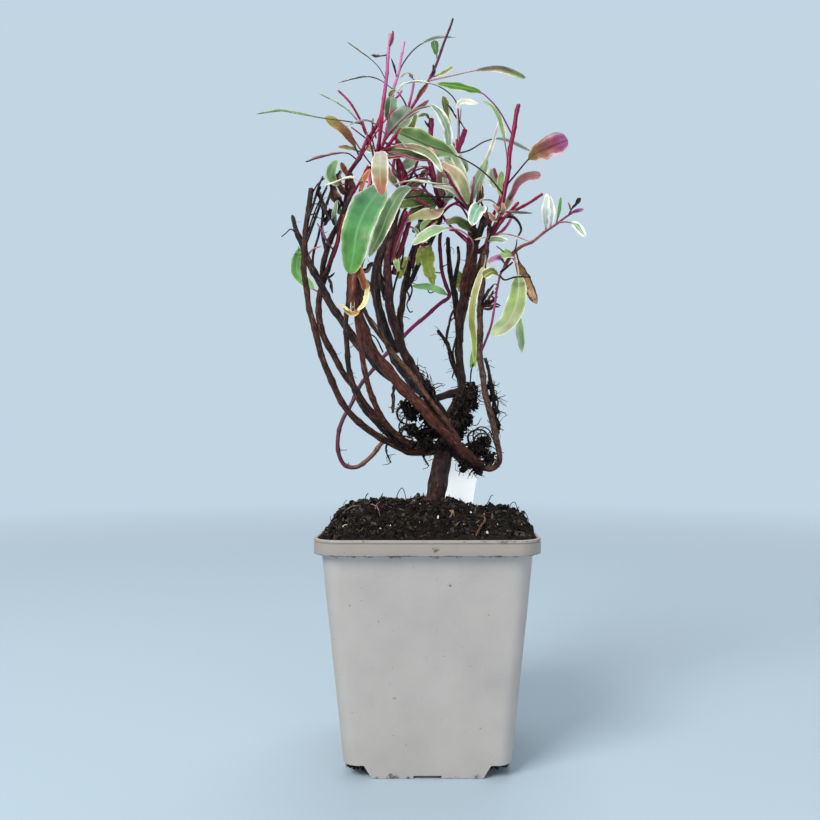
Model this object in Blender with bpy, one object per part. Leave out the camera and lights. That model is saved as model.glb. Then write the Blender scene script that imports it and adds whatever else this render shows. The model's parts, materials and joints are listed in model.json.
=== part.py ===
"""A potted gaura: a square nursery pot of soil, a clump of woody stems and leafy red shoots."""

import math
import random

import bmesh
import bpy
import numpy as np
from mathutils import Matrix, Vector

# All sizes below are in millimetres
MM = 0.001
GAP = 0.3

# Pot
RIM_WIDTH = 82.8
RIM_HEIGHT = 5.7
POT_HEIGHT = 88.7
BODY_TOP_WIDTH = 77.1
BODY_FOOT_WIDTH = 61.9
WALL = 1.2
CORNER = 6.0
CORNER_GROWTH = 0.9
CORNER_STEPS = 4
EDGE = 0.3
FLOOR_HEIGHT = 5.3
FOOT_LENGTH = 40.6
FOOT_LENGTH_ABOVE = 46.6
FOOT_HEIGHT = 5.0
NOTCH_WIDTH = 10.3
NOTCH_HEIGHT = 1.2
FOOT_RECESS = 0.4
DRAIN_RADIUS = 5.5
DRAIN_FROM_CENTRE = 19.0

# Soil: its heaps are (x, y, height, reach across, reach back)
SOIL_EDGE_HEIGHT = 89.2
SOIL_HEAPS = [(2, 2, 11, 23, 21), (-26, 18, 7, 15, 18), (32, -8, 5.5, 9, 20), (10, -20, 3, 20, 12)]
SOIL_RINGS = (0.97, 0.85, 0.7, 0.54, 0.38, 0.22, 0.07)
SOIL_BUMPS = 0.7
SOIL_SIDE_STEPS = 5
CLOD_COUNT = 22
CLOD_RADII = (1.3, 3.2)
CLOD_REACH = 0.86
CLOD_SUNK = 0.2

# Label: a plain tag on a pointed stake, leaning to the right
LABEL_WIDTH = 20.0
LABEL_LENGTH = 54.0
LABEL_POINT = 12.0
LABEL_THICKNESS = 0.9
LABEL_ROUNDING = 2.0
LABEL_FOOT = (3.6, 13.5, 68.0)
LABEL_LEAN = 10.0

# Stems and leaves are laid out on the front view. A point is (across, down, back): across and down
# the view in its own units, then how many millimetres behind the pot's axis it lies. place() makes it
# a real position.
EYE_DISTANCE = 324.0
EYE_HEIGHT = 125.3
UNITS_AT_ONE = 800.0
CENTRE_ACROSS = 427.5
CENTRE_DOWN = 437.0

MOST_TURN = math.radians(17)
MOST_SPACING = 11.0
LEAST_SPACING = 2.0
# A tube has four sides, six from the first of these radii and eight from the second
TUBE_SIDES_FROM = (0.75, 2.0)
MOST_STATIONS = 9
LEAF_THICKNESS = 0.62
STALK_WIDTH = 0.9
TIP_WIDTH = 0.6
LEAF_CUP = 0.10
LEAF_KEEL = 0.05
LUMP_UNEVENNESS = (0.8, 1.15)

# Each stem: its node, the radius at its foot and at its tip, and its route from foot to tip
STEMS = {
    "trunk": (
        "trunk", 4.1, 2.6,
        [(430, 534, 0), (433, 512, 0), (437, 488, 0), (441, 468, 0), (445, 448, 0), (449, 428, 1),
         (456, 408, 3), (462, 392, 4)]),
    "crown_left": (
        "trunk", 2.6, 1.8,
        [(445, 446, 0), (432, 450, 0), (418, 451, 0)]),
    "crown_neck": (
        "trunk", 2.9, 2.2,
        [(450, 430, 1), (440, 414, 1), (431, 399, 1)]),
    "crown_bridge": (
        "trunk", 1.6, 1.5,
        [(432, 400, 1), (446, 395, 2), (463, 390, 4)]),
    "crown_right": (
        "trunk", 3.0, 2.0,
        [(447, 440, 0), (461, 455, 0), (476, 464, 0), (484, 466, 0)]),
    "outer_left": (
        "left_bough", 1.35, 1.05,
        [(424, 452, -2), (408, 451, -6), (385, 440, -10), (354, 418, -13), (331, 380, -15),
         (316, 335, -15), (307, 295, -12), (304, 262, -10), (306, 230, -8), (309, 205, -6),
         (312, 188, -5)]),
    "inner_left": (
        "left_bough", 1.2, 0.8,
        [(408, 449, -7), (396, 440, -12), (385, 431, -16), (365, 410, -21), (352, 382, -24),
         (347, 350, -25), (346, 325, -25), (348, 300, -24), (350, 280, -22), (351, 264, -20)]),
    "front_left": (
        "left_bough", 1.15, 0.95,
        [(410, 446, -8), (398, 437, -15), (385, 422, -19), (372, 398, -23), (366, 375, -25),
         (361, 350, -26), (358, 325, -26), (357, 303, -25), (358, 282, -23), (361, 262, -20),
         (365, 244, -17)]),
    "left_prong": (
        "left_bough", 0.6, 0.45,
        [(306, 243, -9), (315, 219, -7), (322, 198, -5), (327, 187, -4)]),
    "left_prong_thin": (
        "left_bough", 0.5, 0.4,
        [(307, 222, -8), (314, 203, -9), (318, 188, -10), (323, 176, -10)]),
    "second_left": (
        "second_bough", 1.45, 1.1,
        [(424, 444, 4), (408, 443, 5), (384, 428, 6), (352, 385, 5), (333, 355, 4), (320, 325, 3),
         (319, 303, 4), (322, 283, 6), (324, 262, 6), (329, 243, 5), (338, 225, 4), (345, 207, 3),
         (348, 192, 2)]),
    "second_twig": (
        "second_bough", 0.7, 0.5,
        [(326, 252, 6), (322, 231, 9), (324, 212, 11), (329, 197, 12), (333, 184, 12)]),
    "second_spur": (
        "second_bough", 0.6, 0.45,
        [(321, 290, 5), (314, 272, 8), (313, 256, 9), (318, 238, 9), (320, 226, 9)]),
    "main": (
        "main_bough", 2.3, 1.6,
        [(481, 464, -2), (470, 456, -6), (455, 443, -9), (430, 417, -13), (405, 390, -14),
         (385, 368, -14), (370, 345, -13), (361, 322, -12), (356, 300, -11), (354, 280, -10),
         (354, 258, -9), (357, 235, -8), (363, 210, -7), (367, 194, -7)]),
    "diagonal": (
        "main_bough", 1.8, 1.2,
        [(408, 391, -13), (396, 380, -9), (380, 368, -6), (352, 336, -5), (330, 302, -4), (313, 270, -2),
         (304, 250, 1), (297, 232, 2), (292, 215, 3)]),
    "thin_left": (
        "main_bough", 0.95, 0.75,
        [(450, 436, -9), (436, 414, -8), (420, 395, -7), (400, 370, -6), (385, 350, -6), (372, 330, -5),
         (364, 312, -4), (361, 295, -3), (362, 275, -2)]),
    "middle": (
        "middle_bough", 2.0, 1.4,
        [(431, 401, 1), (420, 384, 2), (408, 360, 1), (397, 335, -1), (391, 310, -3), (388, 285, -4),
         (388, 262, -4), (391, 240, -4), (395, 220, -3), (397, 207, -2)]),
    "back_left": (
        "middle_bough", 1.7, 1.2,
        [(428, 396, 3), (415, 386, 8), (400, 368, 13), (388, 345, 17), (380, 318, 19), (374, 288, 20),
         (376, 264, 20), (385, 244, 19), (392, 226, 17), (399, 208, 14)]),
    "fork": (
        "middle_bough", 1.5, 1.0,
        [(401, 345, 0), (400, 320, 6), (402, 303, 10), (404, 290, 12), (407, 275, 14), (411, 258, 14),
         (415, 246, 13), (419, 230, 11), (422, 212, 9)]),
    "fork_right": (
        "middle_bough", 1.0, 1.0,
        [(403, 294, 12), (412, 278, 10), (420, 262, 7), (429, 245, 4), (437, 228, 1), (440, 218, 0)]),
    "dark_back": (
        "middle_bough", 1.5, 1.0,
        [(397, 352, 15), (386, 330, 11), (379, 302, 9), (377, 278, 9), (382, 256, 9), (389, 236, 9),
         (391, 222, 8)]),
    "dark_red_fork": (
        "middle_bough", 1.1, 0.9,
        [(406, 276, 14), (412, 262, 17), (421, 249, 17), (430, 238, 16)]),
    "loop": (
        "loop_stem", 1.1, 0.8,
        [(429, 446, 3), (418, 448, 8), (405, 446, 13), (386, 441, 16), (372, 455, 17), (358, 467, 18),
         (345, 465, 18), (338, 450, 18), (338, 435, 18), (343, 420, 18), (352, 402, 19), (364, 380, 21),
         (376, 366, 23), (390, 350, 25), (403, 337, 25), (420, 321, 22), (447, 297, 16), (443, 284, 14),
         (440, 265, 11), (440, 243, 8), (441, 231, 6)]),
    "right_dead": (
        "right_bough", 2.1, 1.2,
        [(462, 396, 4), (460, 365, 5), (459, 340, 6), (458, 318, 7), (455, 300, 8), (452, 282, 10),
         (450, 268, 11), (448, 252, 12), (448, 237, 13)]),
    "right": (
        "right_bough", 2.1, 1.8,
        [(459, 326, 6), (463, 302, 3), (467, 280, 1), (471, 258, 0), (473, 240, 0), (473, 226, 0)]),
    "right_snag": (
        "right_bough", 0.9, 0.6,
        [(459, 378, 5), (452, 362, 4), (449, 349, 3), (443, 338, 2), (437, 330, 1)]),
    "right_wisp": (
        "right_bough", 0.5, 0.4,
        [(456, 306, 8), (451, 316, 9), (448, 330, 9), (446, 343, 8)]),
    "far_right": (
        "far_right_stem", 1.2, 1.2,
        [(478, 466, 0), (492, 468, -2), (499, 459, -5), (498, 445, -7), (493, 425, -9), (488, 405, -10),
         (483, 380, -10), (480, 352, -9), (480, 325, -8), (481, 300, -8), (482, 280, -8), (484, 262, -8),
         (487, 248, -8)]),
    "purple": (
        "far_right_stem", 0.55, 0.5,
        [(480, 354, -9), (486, 340, -12), (491, 325, -15), (495, 305, -17), (497, 290, -17),
         (500, 275, -16), (506, 265, -13)]),
    "left_shoot": (
        "left_shoot", 0.9, 0.6,
        [(348, 195, 2), (347, 184, 2), (350, 172, 0), (360, 156, -3), (367, 143, -5), (374, 130, -7),
         (380, 118, -8), (384, 100, -8), (386, 80, -8), (388, 60, -8), (390, 33, -7)]),
    "left_twig": (
        "left_shoot", 0.5, 0.4,
        [(370, 138, -6), (365, 132, -10), (361, 121, -12), (351, 104, -12), (338, 90, -11)]),
    "left_crimson": (
        "second_bough", 0.75, 0.6,
        [(322, 286, 6), (330, 263, 2), (337, 244, 0), (340, 225, -1), (347, 203, -2), (355, 186, -3)]),
    "left_red_side": (
        "left_shoot", 0.65, 0.5,
        [(349, 179, 1), (354, 170, -6), (362, 160, -11), (368, 147, -13), (371, 132, -14)]),
    "pink_shoot": (
        "pink_shoot", 1.0, 0.55,
        [(366, 198, -7), (375, 166, -7), (379, 153, -6), (384, 140, -3), (389, 120, 1), (392, 103, 3),
         (394, 88, 4), (398, 74, 4), (401, 60, 5), (404, 41, 6)]),
    "red_spur": (
        "pink_shoot", 0.65, 0.5,
        [(379, 155, -7), (380, 140, -12), (382, 122, -14), (382, 105, -14)]),
    "red_hanger": (
        "pink_shoot", 0.6, 0.5,
        [(375, 166, -7), (366, 170, -9), (362, 185, -10), (360, 203, -10)]),
    "dark_red_back": (
        "tall_shoot", 0.7, 0.6,
        [(400, 180, 4), (393, 170, 10), (396, 150, 13), (397, 128, 14)]),
    "tall_shoot": (
        "tall_shoot", 1.0, 0.42,
        [(397, 210, -2), (402, 190, 2), (400, 175, 5), (397, 155, 7), (398, 133, 8), (405, 117, 8),
         (415, 102, 6), (425, 88, 4), (431, 76, 3), (437, 62, 2), (443, 46, 1), (449, 30, 0),
         (453, 18, 0)]),
    "tall_side": (
        "tall_shoot", 0.55, 0.5,
        [(403, 120, 8), (409, 106, 11), (412, 92, 13), (414, 79, 13)]),
    "centre_shoot": (
        "centre_shoot", 1.0, 1.05,
        [(440, 222, 0), (441, 211, 1), (439, 198, 3), (435, 182, 5), (431, 166, 7), (429, 150, 9),
         (430, 135, 10), (432, 118, 11)]),
    "centre_front": (
        "centre_shoot", 0.9, 0.8,
        [(441, 209, 1), (444, 199, -3), (447, 188, -7)]),
    "centre_back": (
        "centre_shoot", 0.75, 0.6,
        [(440, 206, 2), (448, 196, 9), (456, 183, 13), (461, 166, 17)]),
    "centre_reach": (
        "centre_shoot", 0.6, 0.5,
        [(441, 208, 1), (433, 199, -3), (421, 184, -4), (413, 170, -3)]),
    "stub_twin": (
        "stub_shoot", 0.7, 0.6,
        [(458, 166, 9), (458, 152, 7), (457, 139, 7)]),
    "stub_low": (
        "stub_shoot", 0.8, 0.6,
        [(471, 212, 0), (460, 203, 2), (449, 192, 6), (438, 187, 9)]),
    "stub_shoot": (
        "stub_shoot", 1.2, 1.1,
        [(473, 229, 0), (473, 219, 0), (470, 207, 0), (465, 188, 5), (460, 170, 9), (458, 154, 11),
         (461, 141, 12), (465, 129, 13)]),
    "right_shoot": (
        "right_shoot", 1.1, 0.95,
        [(487, 252, -8), (488, 241, -8), (494, 229, -8), (500, 215, -8), (503, 200, -7), (507, 180, -6),
         (509, 160, -4), (512, 140, -2), (515, 122, 0), (519, 104, 2)]),
    "right_side": (
        "right_shoot", 0.7, 0.6,
        [(496, 224, -8), (504, 218, -4), (515, 211, 0), (530, 202, 4), (543, 194, 7)]),
    "right_second": (
        "right_shoot", 0.75, 0.6,
        [(488, 240, -8), (489, 226, -3), (495, 212, 1), (500, 198, 2), (498, 182, 3), (494, 168, 4)]),
    "right_low": (
        "right_shoot", 0.65, 0.5,
        [(490, 238, -8), (503, 230, -4), (511, 218, -3), (516, 203, -2)]),
    "end_twig": (
        "end_twig", 0.8, 0.4,
        [(505, 268, -13), (508, 261, -12), (514, 253, -11), (522, 246, -9), (533, 241, -6),
         (545, 232, -3), (556, 224, 0), (566, 217, 2), (574, 212, 3)]),
}

# Each leaf: its node, the stem that carries it, where it springs from, the rest of its route, its
# width, how far it is turned edge-on in degrees, and the share of its length that is stalk
LEAVES = {
    "high_left_blade": (
        "left_shoot", "left_shoot", (386, 80),
        [(375, 63, -12), (346, 41, -18)], 2.6, 62, 0.25),
    "withered_tag": (
        "left_shoot", "left_shoot", (388, 55),
        [(380, 56, -9), (371, 56, -12)], 2.2, 40, 0.4),
    "bract_left": (
        "left_shoot", "left_shoot", (390, 47),
        [(392, 40, -10), (393, 30, -11)], 1.6, 20, 0.1),
    "left_rust": (
        "left_shoot", "left_shoot", (359, 157),
        [(353, 143, -9), (343, 130, -14), (325, 117, -18)], 4.2, 15, 0.2),
    "far_left": (
        "left_shoot", "left_twig", (361, 124),
        [(345, 121, -18), (322, 118, -23), (300, 114, -25), (280, 111, -26), (256, 114, -27)],
        2.4, 55, 0.45),
    "left_red": (
        "left_shoot", "left_shoot", (357, 160),
        [(346, 153, -7), (326, 156, -11), (305, 162, -14)], 2.6, 55, 0.25),
    "left_small": (
        "left_shoot", "left_shoot", (362, 152),
        [(352, 149, -7), (338, 147, -10)], 2.4, 30, 0.25),
    "left_needle": (
        "left_shoot", "left_twig", (362, 127),
        [(345, 108, -17), (319, 93, -21)], 2.0, 60, 0.2),
    "left_bright": (
        "left_shoot", "left_shoot", (347, 184),
        [(336, 181, -4), (329, 172, -7), (335, 161, -8)], 4.8, 10, 0.3),
    "left_tuft": (
        "left_shoot", "left_shoot", (348, 177),
        [(344, 170, -4), (341, 162, -6)], 2.8, 20, 0.1),
    "left_pale_mid": (
        "left_shoot", "left_shoot", (366, 146),
        [(371, 150, -10), (373, 145, -13)], 3.0, 15, 0.1),
    "high_left_thread": (
        "pink_shoot", "pink_shoot", (393, 90),
        [(378, 79, -2), (362, 77, -7), (337, 83, -13)], 2.6, 64, 0.2),
    "bract_pink": (
        "pink_shoot", "pink_shoot", (396, 78),
        [(394, 67, 1), (391, 58, -1)], 1.6, 20, 0.2),
    "arching_pale": (
        "pink_shoot", "pink_shoot", (396, 79),
        [(404, 62, 8), (417, 47, 11), (434, 38, 13), (456, 37, 14)], 2.8, 60, 0.4),
    "pale_fan": (
        "pink_shoot", "pink_shoot", (388, 125),
        [(390, 112, -4), (391, 96, -8)], 6.2, 10, 0.15),
    "pale_fan_right": (
        "pink_shoot", "pink_shoot", (385, 137),
        [(396, 124, -6), (411, 108, -11)], 7.0, 15, 0.15),
    "rusty_spear": (
        "pink_shoot", "pink_shoot", (383, 143),
        [(396, 127, -12), (412, 113, -17), (429, 100, -19)], 2.8, 35, 0.5),
    "under_green": (
        "pink_shoot", "pink_shoot", (382, 148),
        [(398, 151, -4), (414, 156, -5)], 4.4, 20, 0.2),
    "orange_leaf": (
        "pink_shoot", "pink_shoot", (374, 168),
        [(369, 172, -14), (361, 191, -19)], 3.0, 20, 0.2),
    "red_sliver": (
        "pink_shoot", "pink_shoot", (374, 170),
        [(371, 178, -12), (370, 193, -15)], 1.6, 20, 0.2),
    "rose_thread": (
        "pink_shoot", "pink_shoot", (378, 156),
        [(400, 156, -12), (420, 159, -15), (443, 162, -17)], 1.8, 50, 0.3),
    "long_brown": (
        "tall_shoot", "tall_shoot", (429, 81),
        [(450, 76, -4), (478, 70, -9), (502, 69, -12), (526, 78, -15)], 3.5, 30, 0.35),
    "small_flag": (
        "tall_shoot", "tall_shoot", (438, 60),
        [(436, 52, -2), (434, 40, -4)], 2.8, 20, 0.35),
    "olive_tooth": (
        "tall_shoot", "tall_shoot", (398, 140),
        [(409, 130, 2), (415, 113, -1)], 4.2, 20, 0.2),
    "cap_left": (
        "tall_shoot", "tall_side", (414, 80),
        [(409, 75, 9)], 2.4, 30, 0.1),
    "cap_right": (
        "tall_shoot", "tall_side", (414, 82),
        [(421, 81, 9)], 2.0, 30, 0.2),
    "inner_arc": (
        "centre_shoot", "centre_shoot", (432, 167),
        [(418, 167, -1), (403, 177, -4)], 1.8, 40, 0.4),
    "inner_dead": (
        "centre_shoot", "centre_shoot", (435, 180),
        [(426, 172, 0), (420, 183, -2)], 3.0, 20, 0.3),
    "olive_left": (
        "centre_shoot", "centre_front", (442, 207),
        [(431, 214, -12), (421, 217, -15), (409, 221, -17)], 5.4, 14, 0.15),
    "shade_olive": (
        "centre_shoot", "centre_front", (443, 203),
        [(425, 201, -5), (410, 203, -7), (396, 207, -8)], 5.0, 15, 0.2),
    "shade_green": (
        "centre_shoot", "centre_shoot", (440, 203),
        [(430, 206, 2), (423, 196, 1)], 5.0, 12, 0.2),
    "hook": (
        "stub_shoot", "stub_shoot", (459, 150),
        [(459, 125, 8), (456, 102, 4), (442, 88, 0), (422, 82, -4), (405, 84, -7), (396, 94, -9)],
        2.6, 55, 0.5),
    "white_edged": (
        "stub_shoot", "stub_shoot", (459, 165),
        [(450, 149, 2), (447, 130, -2), (440, 114, -5), (430, 104, -7)], 4.6, 20, 0.25),
    "folded_olive": (
        "stub_shoot", "stub_shoot", (460, 168),
        [(452, 150, 7), (449, 130, 7), (445, 112, 6), (443, 96, 5)], 5.0, 30, 0.5),
    "tall_pale": (
        "stub_shoot", "stub_shoot", (466, 193),
        [(474, 182, 9), (482, 168, 12), (491, 148, 14), (499, 120, 16)], 3.6, 25, 0.15),
    "bowed_back": (
        "stub_shoot", "stub_shoot", (458, 153),
        [(470, 150, 15), (486, 141, 18), (504, 139, 19), (533, 152, 19)], 2.8, 55, 0.5),
    "broad_inner": (
        "stub_shoot", "stub_shoot", (461, 173),
        [(464, 166, 2), (457, 161, -3), (446, 157, -7)], 6.4, 10, 0.15),
    "over_arc": (
        "stub_shoot", "stub_shoot", (470, 207),
        [(457, 187, -9), (437, 184, -16), (412, 181, -21), (391, 185, -23)], 2.4, 55, 0.3),
    "pinkish_fan": (
        "stub_shoot", "stub_shoot", (471, 210),
        [(465, 192, -13), (457, 176, -17), (442, 164, -20)], 6.2, 18, 0.2),
    "heart": (
        "stub_shoot", "stub_shoot", (471, 211),
        [(477, 208, -16), (475, 216, -22), (472, 227, -24)], 6.0, 5, 0.25),
    "withered_right": (
        "stub_shoot", "stub_shoot", (471, 213),
        [(480, 201, -5), (481, 184, -7)], 2.6, 20, 0.5),
    "crossing_green": (
        "right_shoot", "right_shoot", (512, 136),
        [(500, 112, -8), (488, 98, -12), (479, 92, -14), (458, 87, -17), (437, 84, -19)],
        4.2, 30, 0.42),
    "red_spoon": (
        "right_shoot", "right_shoot", (503, 206),
        [(511, 195, -14), (518, 182, -17), (529, 176, -19), (541, 176, -21)], 3.6, 28, 0.2),
    "green_back_right": (
        "right_shoot", "right_shoot", (503, 203),
        [(500, 190, -1), (502, 171, 2)], 4.6, 18, 0.2),
    "green_side_right": (
        "right_shoot", "right_shoot", (499, 217),
        [(508, 202, -12), (513, 189, -14)], 3.2, 20, 0.2),
    "high_right_green": (
        "right_shoot", "right_shoot", (508, 170),
        [(506, 149, 2), (500, 122, 6), (493, 108, 6), (483, 101, 5)], 3.6, 28, 0.5),
    "thin_right": (
        "right_shoot", "right_shoot", (501, 212),
        [(516, 212, -13), (533, 213, -16)], 1.6, 50, 0.2),
    "pink_arc": (
        "right_shoot", "right_shoot", (489, 240),
        [(498, 234, -15), (512, 235, -19), (531, 242, -22)], 1.8, 50, 0.3),
    "low_cream_edge": (
        "right_shoot", "right_shoot", (488, 242),
        [(497, 240, -15), (509, 243, -19)], 3.0, 22, 0.15),
    "white_pair": (
        "end_twig", "end_twig", (546, 231),
        [(543, 212, -8), (546, 192, -10)], 4.2, 12, 0.1),
    "grey_pair": (
        "end_twig", "end_twig", (550, 228),
        [(552, 212, -2), (549, 195, -3)], 3.4, 15, 0.1),
    "green_sliver": (
        "end_twig", "end_twig", (556, 224),
        [(559, 211, 2), (561, 197, 3)], 1.8, 20, 0.2),
    "tip_pink": (
        "end_twig", "end_twig", (566, 217),
        [(573, 212, 0), (584, 209, -1)], 2.2, 30, 0.3),
    "tip_bud": (
        "end_twig", "end_twig", (568, 216),
        [(573, 207, 4), (581, 198, 5)], 1.8, 20, 0.4),
    "tip_thread": (
        "end_twig", "end_twig", (571, 214),
        [(570, 208, 5), (568, 202, 6)], 1.0, 20, 0.2),
    "white_drop": (
        "end_twig", "end_twig", (558, 223),
        [(567, 222, -4), (576, 225, -6), (586, 237, -7)], 3.2, 25, 0.45),
    "great_green": (
        "great_green_leaf", "pink_shoot", (373, 172),
        [(384, 180, -17), (386, 196, -25), (371, 212, -31), (360, 232, -34), (354, 252, -35),
         (349, 275, -34)], 13.0, 0, 0.3),
    "front_flushed": (
        "flushed_leaf", "pink_shoot", (379, 156),
        [(381, 162, -24), (379, 178, -32), (381, 197, -36)], 6.2, 0, 0.12),
    "rose_edged": (
        "rose_edged_leaf", "pink_shoot", (379, 154),
        [(392, 147, -17), (412, 147, -24), (431, 155, -28), (443, 172, -30)], 4.2, 35, 0.2),
    "blue_green": (
        "blue_green_leaf", "centre_front", (442, 206),
        [(430, 196, -9), (415, 190, -16), (399, 194, -21), (388, 212, -26), (380, 236, -27),
         (366, 259, -27)], 8.0, 16, 0.38),
    "broad_back": (
        "broad_green_leaf", "right_shoot", (504, 196),
        [(490, 178, -12), (474, 166, -15), (450, 153, -18), (425, 141, -20), (401, 131, -21)],
        8.6, 28, 0.34),
    "rosy_flag": (
        "rosy_leaf", "right_shoot", (507, 186),
        [(516, 174, -10), (531, 159, -13), (547, 149, -15), (567, 142, -16)], 7.4, 15, 0.42),
    "tan_wrap": (
        "tan_dead_leaf", "main", (355, 270),
        [(359, 283, -16), (362, 298, -18), (356, 312, -17)], 5.0, 10, 0.12),
    "cream_arc": (
        "cream_leaf", "pink_shoot", (370, 182),
        [(360, 181, -17), (349, 178, -21), (322, 187, -26)], 3.0, 45, 0.2),
    "left_pale_low": (
        "pale_left_leaf", "second_left", (342, 215),
        [(338, 209, 0), (337, 199, -2)], 2.6, 15, 0.1),
    "left_round": (
        "round_left_leaf", "second_left", (320, 293),
        [(311, 287, 10), (297, 270, 12), (301, 247, 12)], 6.0, 10, 0.2),
    "front_arch": (
        "front_arch_leaf", "right", (471, 256),
        [(464, 240, -12), (450, 230, -19), (433, 232, -22), (411, 245, -24)], 5.0, 28, 0.35),
    "dark_green": (
        "dark_green_leaf", "right", (473, 232),
        [(464, 226, -9), (455, 221, -12), (445, 219, -13)], 4.2, 16, 0.15),
    "torn_green": (
        "torn_leaf", "fork_right", (431, 241),
        [(430, 254, 0), (429, 267, -1), (431, 284, -1)], 6.0, 8, 0.1),
    "torn_small": (
        "small_torn_leaf", "fork", (411, 256),
        [(404, 262, 9), (399, 279, 7)], 4.2, 15, 0.15),
    "low_green": (
        "low_green_leaf", "loop", (447, 296),
        [(437, 289, 12), (412, 286, 8)], 3.0, 30, 0.15),
    "gap_green": (
        "gap_green_leaf", "right", (464, 298),
        [(460, 286, 12), (459, 271, 14)], 3.0, 15, 0.2),
    "fold_right": (
        "folded_right_leaf", "end_twig", (513, 255),
        [(508, 254, -15), (500, 257, -18)], 4.6, 12, 0.1),
    "hanging_pale": (
        "hanging_leaf", "end_twig", (512, 256),
        [(518, 268, -17), (518, 296, -20), (509, 321, -20), (491, 335, -18)], 7.6, 8, 0.25),
    "hanging_small": (
        "small_hanging_leaf", "end_twig", (514, 253),
        [(520, 290, -11), (519, 322, -13), (522, 353, -14)], 3.6, 10, 0.6),
    "dead_right": (
        "dead_leaf", "end_twig", (516, 251),
        [(521, 266, -6), (528, 283, -5), (536, 304, -5)], 4.2, 12, 0.2),
    "olive_inner": (
        "olive_leaf", "purple", (499, 276),
        [(492, 272, -21), (483, 277, -22)], 4.0, 18, 0.15),
    "purple_inner": (
        "purple_leaf", "purple", (502, 270),
        [(498, 259, -19), (488, 261, -21)], 2.6, 20, 0.2),
    "long_yellow": (
        "long_yellow_leaf", "far_right", (486, 254),
        [(483, 265, -14), (477, 288, -17), (474, 312, -18), (475, 338, -17), (472, 367, -15)],
        3.6, 15, 0.2),
}

# Lumps of the dirty root crown: place on the front view and radius
CROWN_LUMPS = [
    (417, 420, 1, 4.4), (426, 444, -1, 4.6), (412, 434, 1, 4.4), (428, 397, 1, 3.2), (436, 430, 1, 4.8),
    (423, 433, 1, 4.8), (429, 419, 2, 4.6), (431, 407, 1, 3.8), (468, 399, 5, 3.9), (463, 415, 5, 3.6),
    (457, 432, 2, 4.2), (477, 452, 1, 5.6), (466, 460, 1, 3.6), (488, 457, 1, 3.6),
]
# Loose root ends on the crown: radius and route
ROOT_ENDS = [
    (0.5, [(389, 438, 8), (386, 450, 8), (391, 463, 8)]),
    (0.5, [(422, 450, 1), (424, 458, 0), (429, 466, 0)]),
    (0.5, [(470, 446, 1), (474, 434, 1), (483, 431, 1), (489, 437, 1), (484, 446, 1)]),
    (0.5, [(414, 424, -1), (402, 428, -2), (398, 438, -1), (404, 450, 0)]),
    (0.5, [(404, 404, 1), (397, 412, 1), (401, 422, 1), (412, 425, 1)]),
]

# The look of each kind of piece: colour and roughness
LOOKS = {
    "pot_plastic": ("B3ADAA", 0.55),
    "soil": ("1F1814", 0.95),
    "label_plastic": ("EEF3F6", 0.4),
    "bark": ("4F342B", 0.85),
    "root_crown": ("2E221D", 0.95),
    "red_shoot": ("8E2A4E", 0.5),
    "green_leaf": ("5A9650", 0.45),
    "pale_leaf": ("A9BE98", 0.5),
    "rosy_leaf": ("A04A70", 0.5),
    "dead_leaf": ("7A5A3F", 0.8),
}
NODE_LOOKS = {
    "pot": "pot_plastic", "soil": "soil", "plant_label": "label_plastic", "trunk": "root_crown",
    "left_bough": "bark", "second_bough": "bark", "main_bough": "bark", "middle_bough": "bark",
    "loop_stem": "bark", "right_bough": "bark", "far_right_stem": "bark", "left_shoot": "red_shoot",
    "pink_shoot": "red_shoot", "tall_shoot": "red_shoot", "centre_shoot": "red_shoot",
    "stub_shoot": "red_shoot", "right_shoot": "red_shoot", "end_twig": "red_shoot",
    "great_green_leaf": "green_leaf", "flushed_leaf": "pale_leaf", "rose_edged_leaf": "rosy_leaf",
    "blue_green_leaf": "pale_leaf", "broad_green_leaf": "green_leaf", "rosy_leaf": "rosy_leaf",
    "tan_dead_leaf": "dead_leaf", "cream_leaf": "pale_leaf", "pale_left_leaf": "pale_leaf",
    "round_left_leaf": "green_leaf", "front_arch_leaf": "pale_leaf", "dark_green_leaf": "green_leaf",
    "torn_leaf": "green_leaf", "small_torn_leaf": "green_leaf", "low_green_leaf": "green_leaf",
    "gap_green_leaf": "green_leaf", "folded_right_leaf": "green_leaf", "hanging_leaf": "green_leaf",
    "small_hanging_leaf": "pale_leaf", "dead_leaf": "dead_leaf", "olive_leaf": "green_leaf",
    "purple_leaf": "rosy_leaf", "long_yellow_leaf": "green_leaf",
}
PLANT_NODES = [name for name in NODE_LOOKS if name not in ("pot", "soil", "plant_label")]


def place(point):
    across, down, back = point
    unit = (EYE_DISTANCE + back) / UNITS_AT_ONE
    return np.array([(across - CENTRE_ACROSS) * unit, back, EYE_HEIGHT - (down - CENTRE_DOWN) * unit])


def even_points(line, count):
    steps = np.linalg.norm(np.diff(line, axis=0), axis=1)
    along = np.concatenate([[0], np.cumsum(steps)])
    wanted = np.linspace(0, along[-1], count)
    return np.stack([np.interp(wanted, along, line[:, axis]) for axis in range(3)], axis=1)


def smooth_line(points, steps=10):
    """A Catmull-Rom curve through the points."""
    points = np.array(points, float)
    padded = np.vstack([2 * points[0] - points[1], points, 2 * points[-1] - points[-2]])
    before, start, end, after = padded[:-3], padded[1:-2], padded[2:-1], padded[3:]
    line = []
    for t in np.arange(steps) / steps:
        slope = (end - before) * t
        bend = (2 * before - 5 * start + 4 * end - after) * t**2
        twist = (3 * start - before - 3 * end + after) * t**3
        line.append((2 * start + slope + bend + twist) / 2)
    line = np.stack(line, axis=1).reshape(-1, 3)
    return np.vstack([line, points[-1]])


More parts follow.
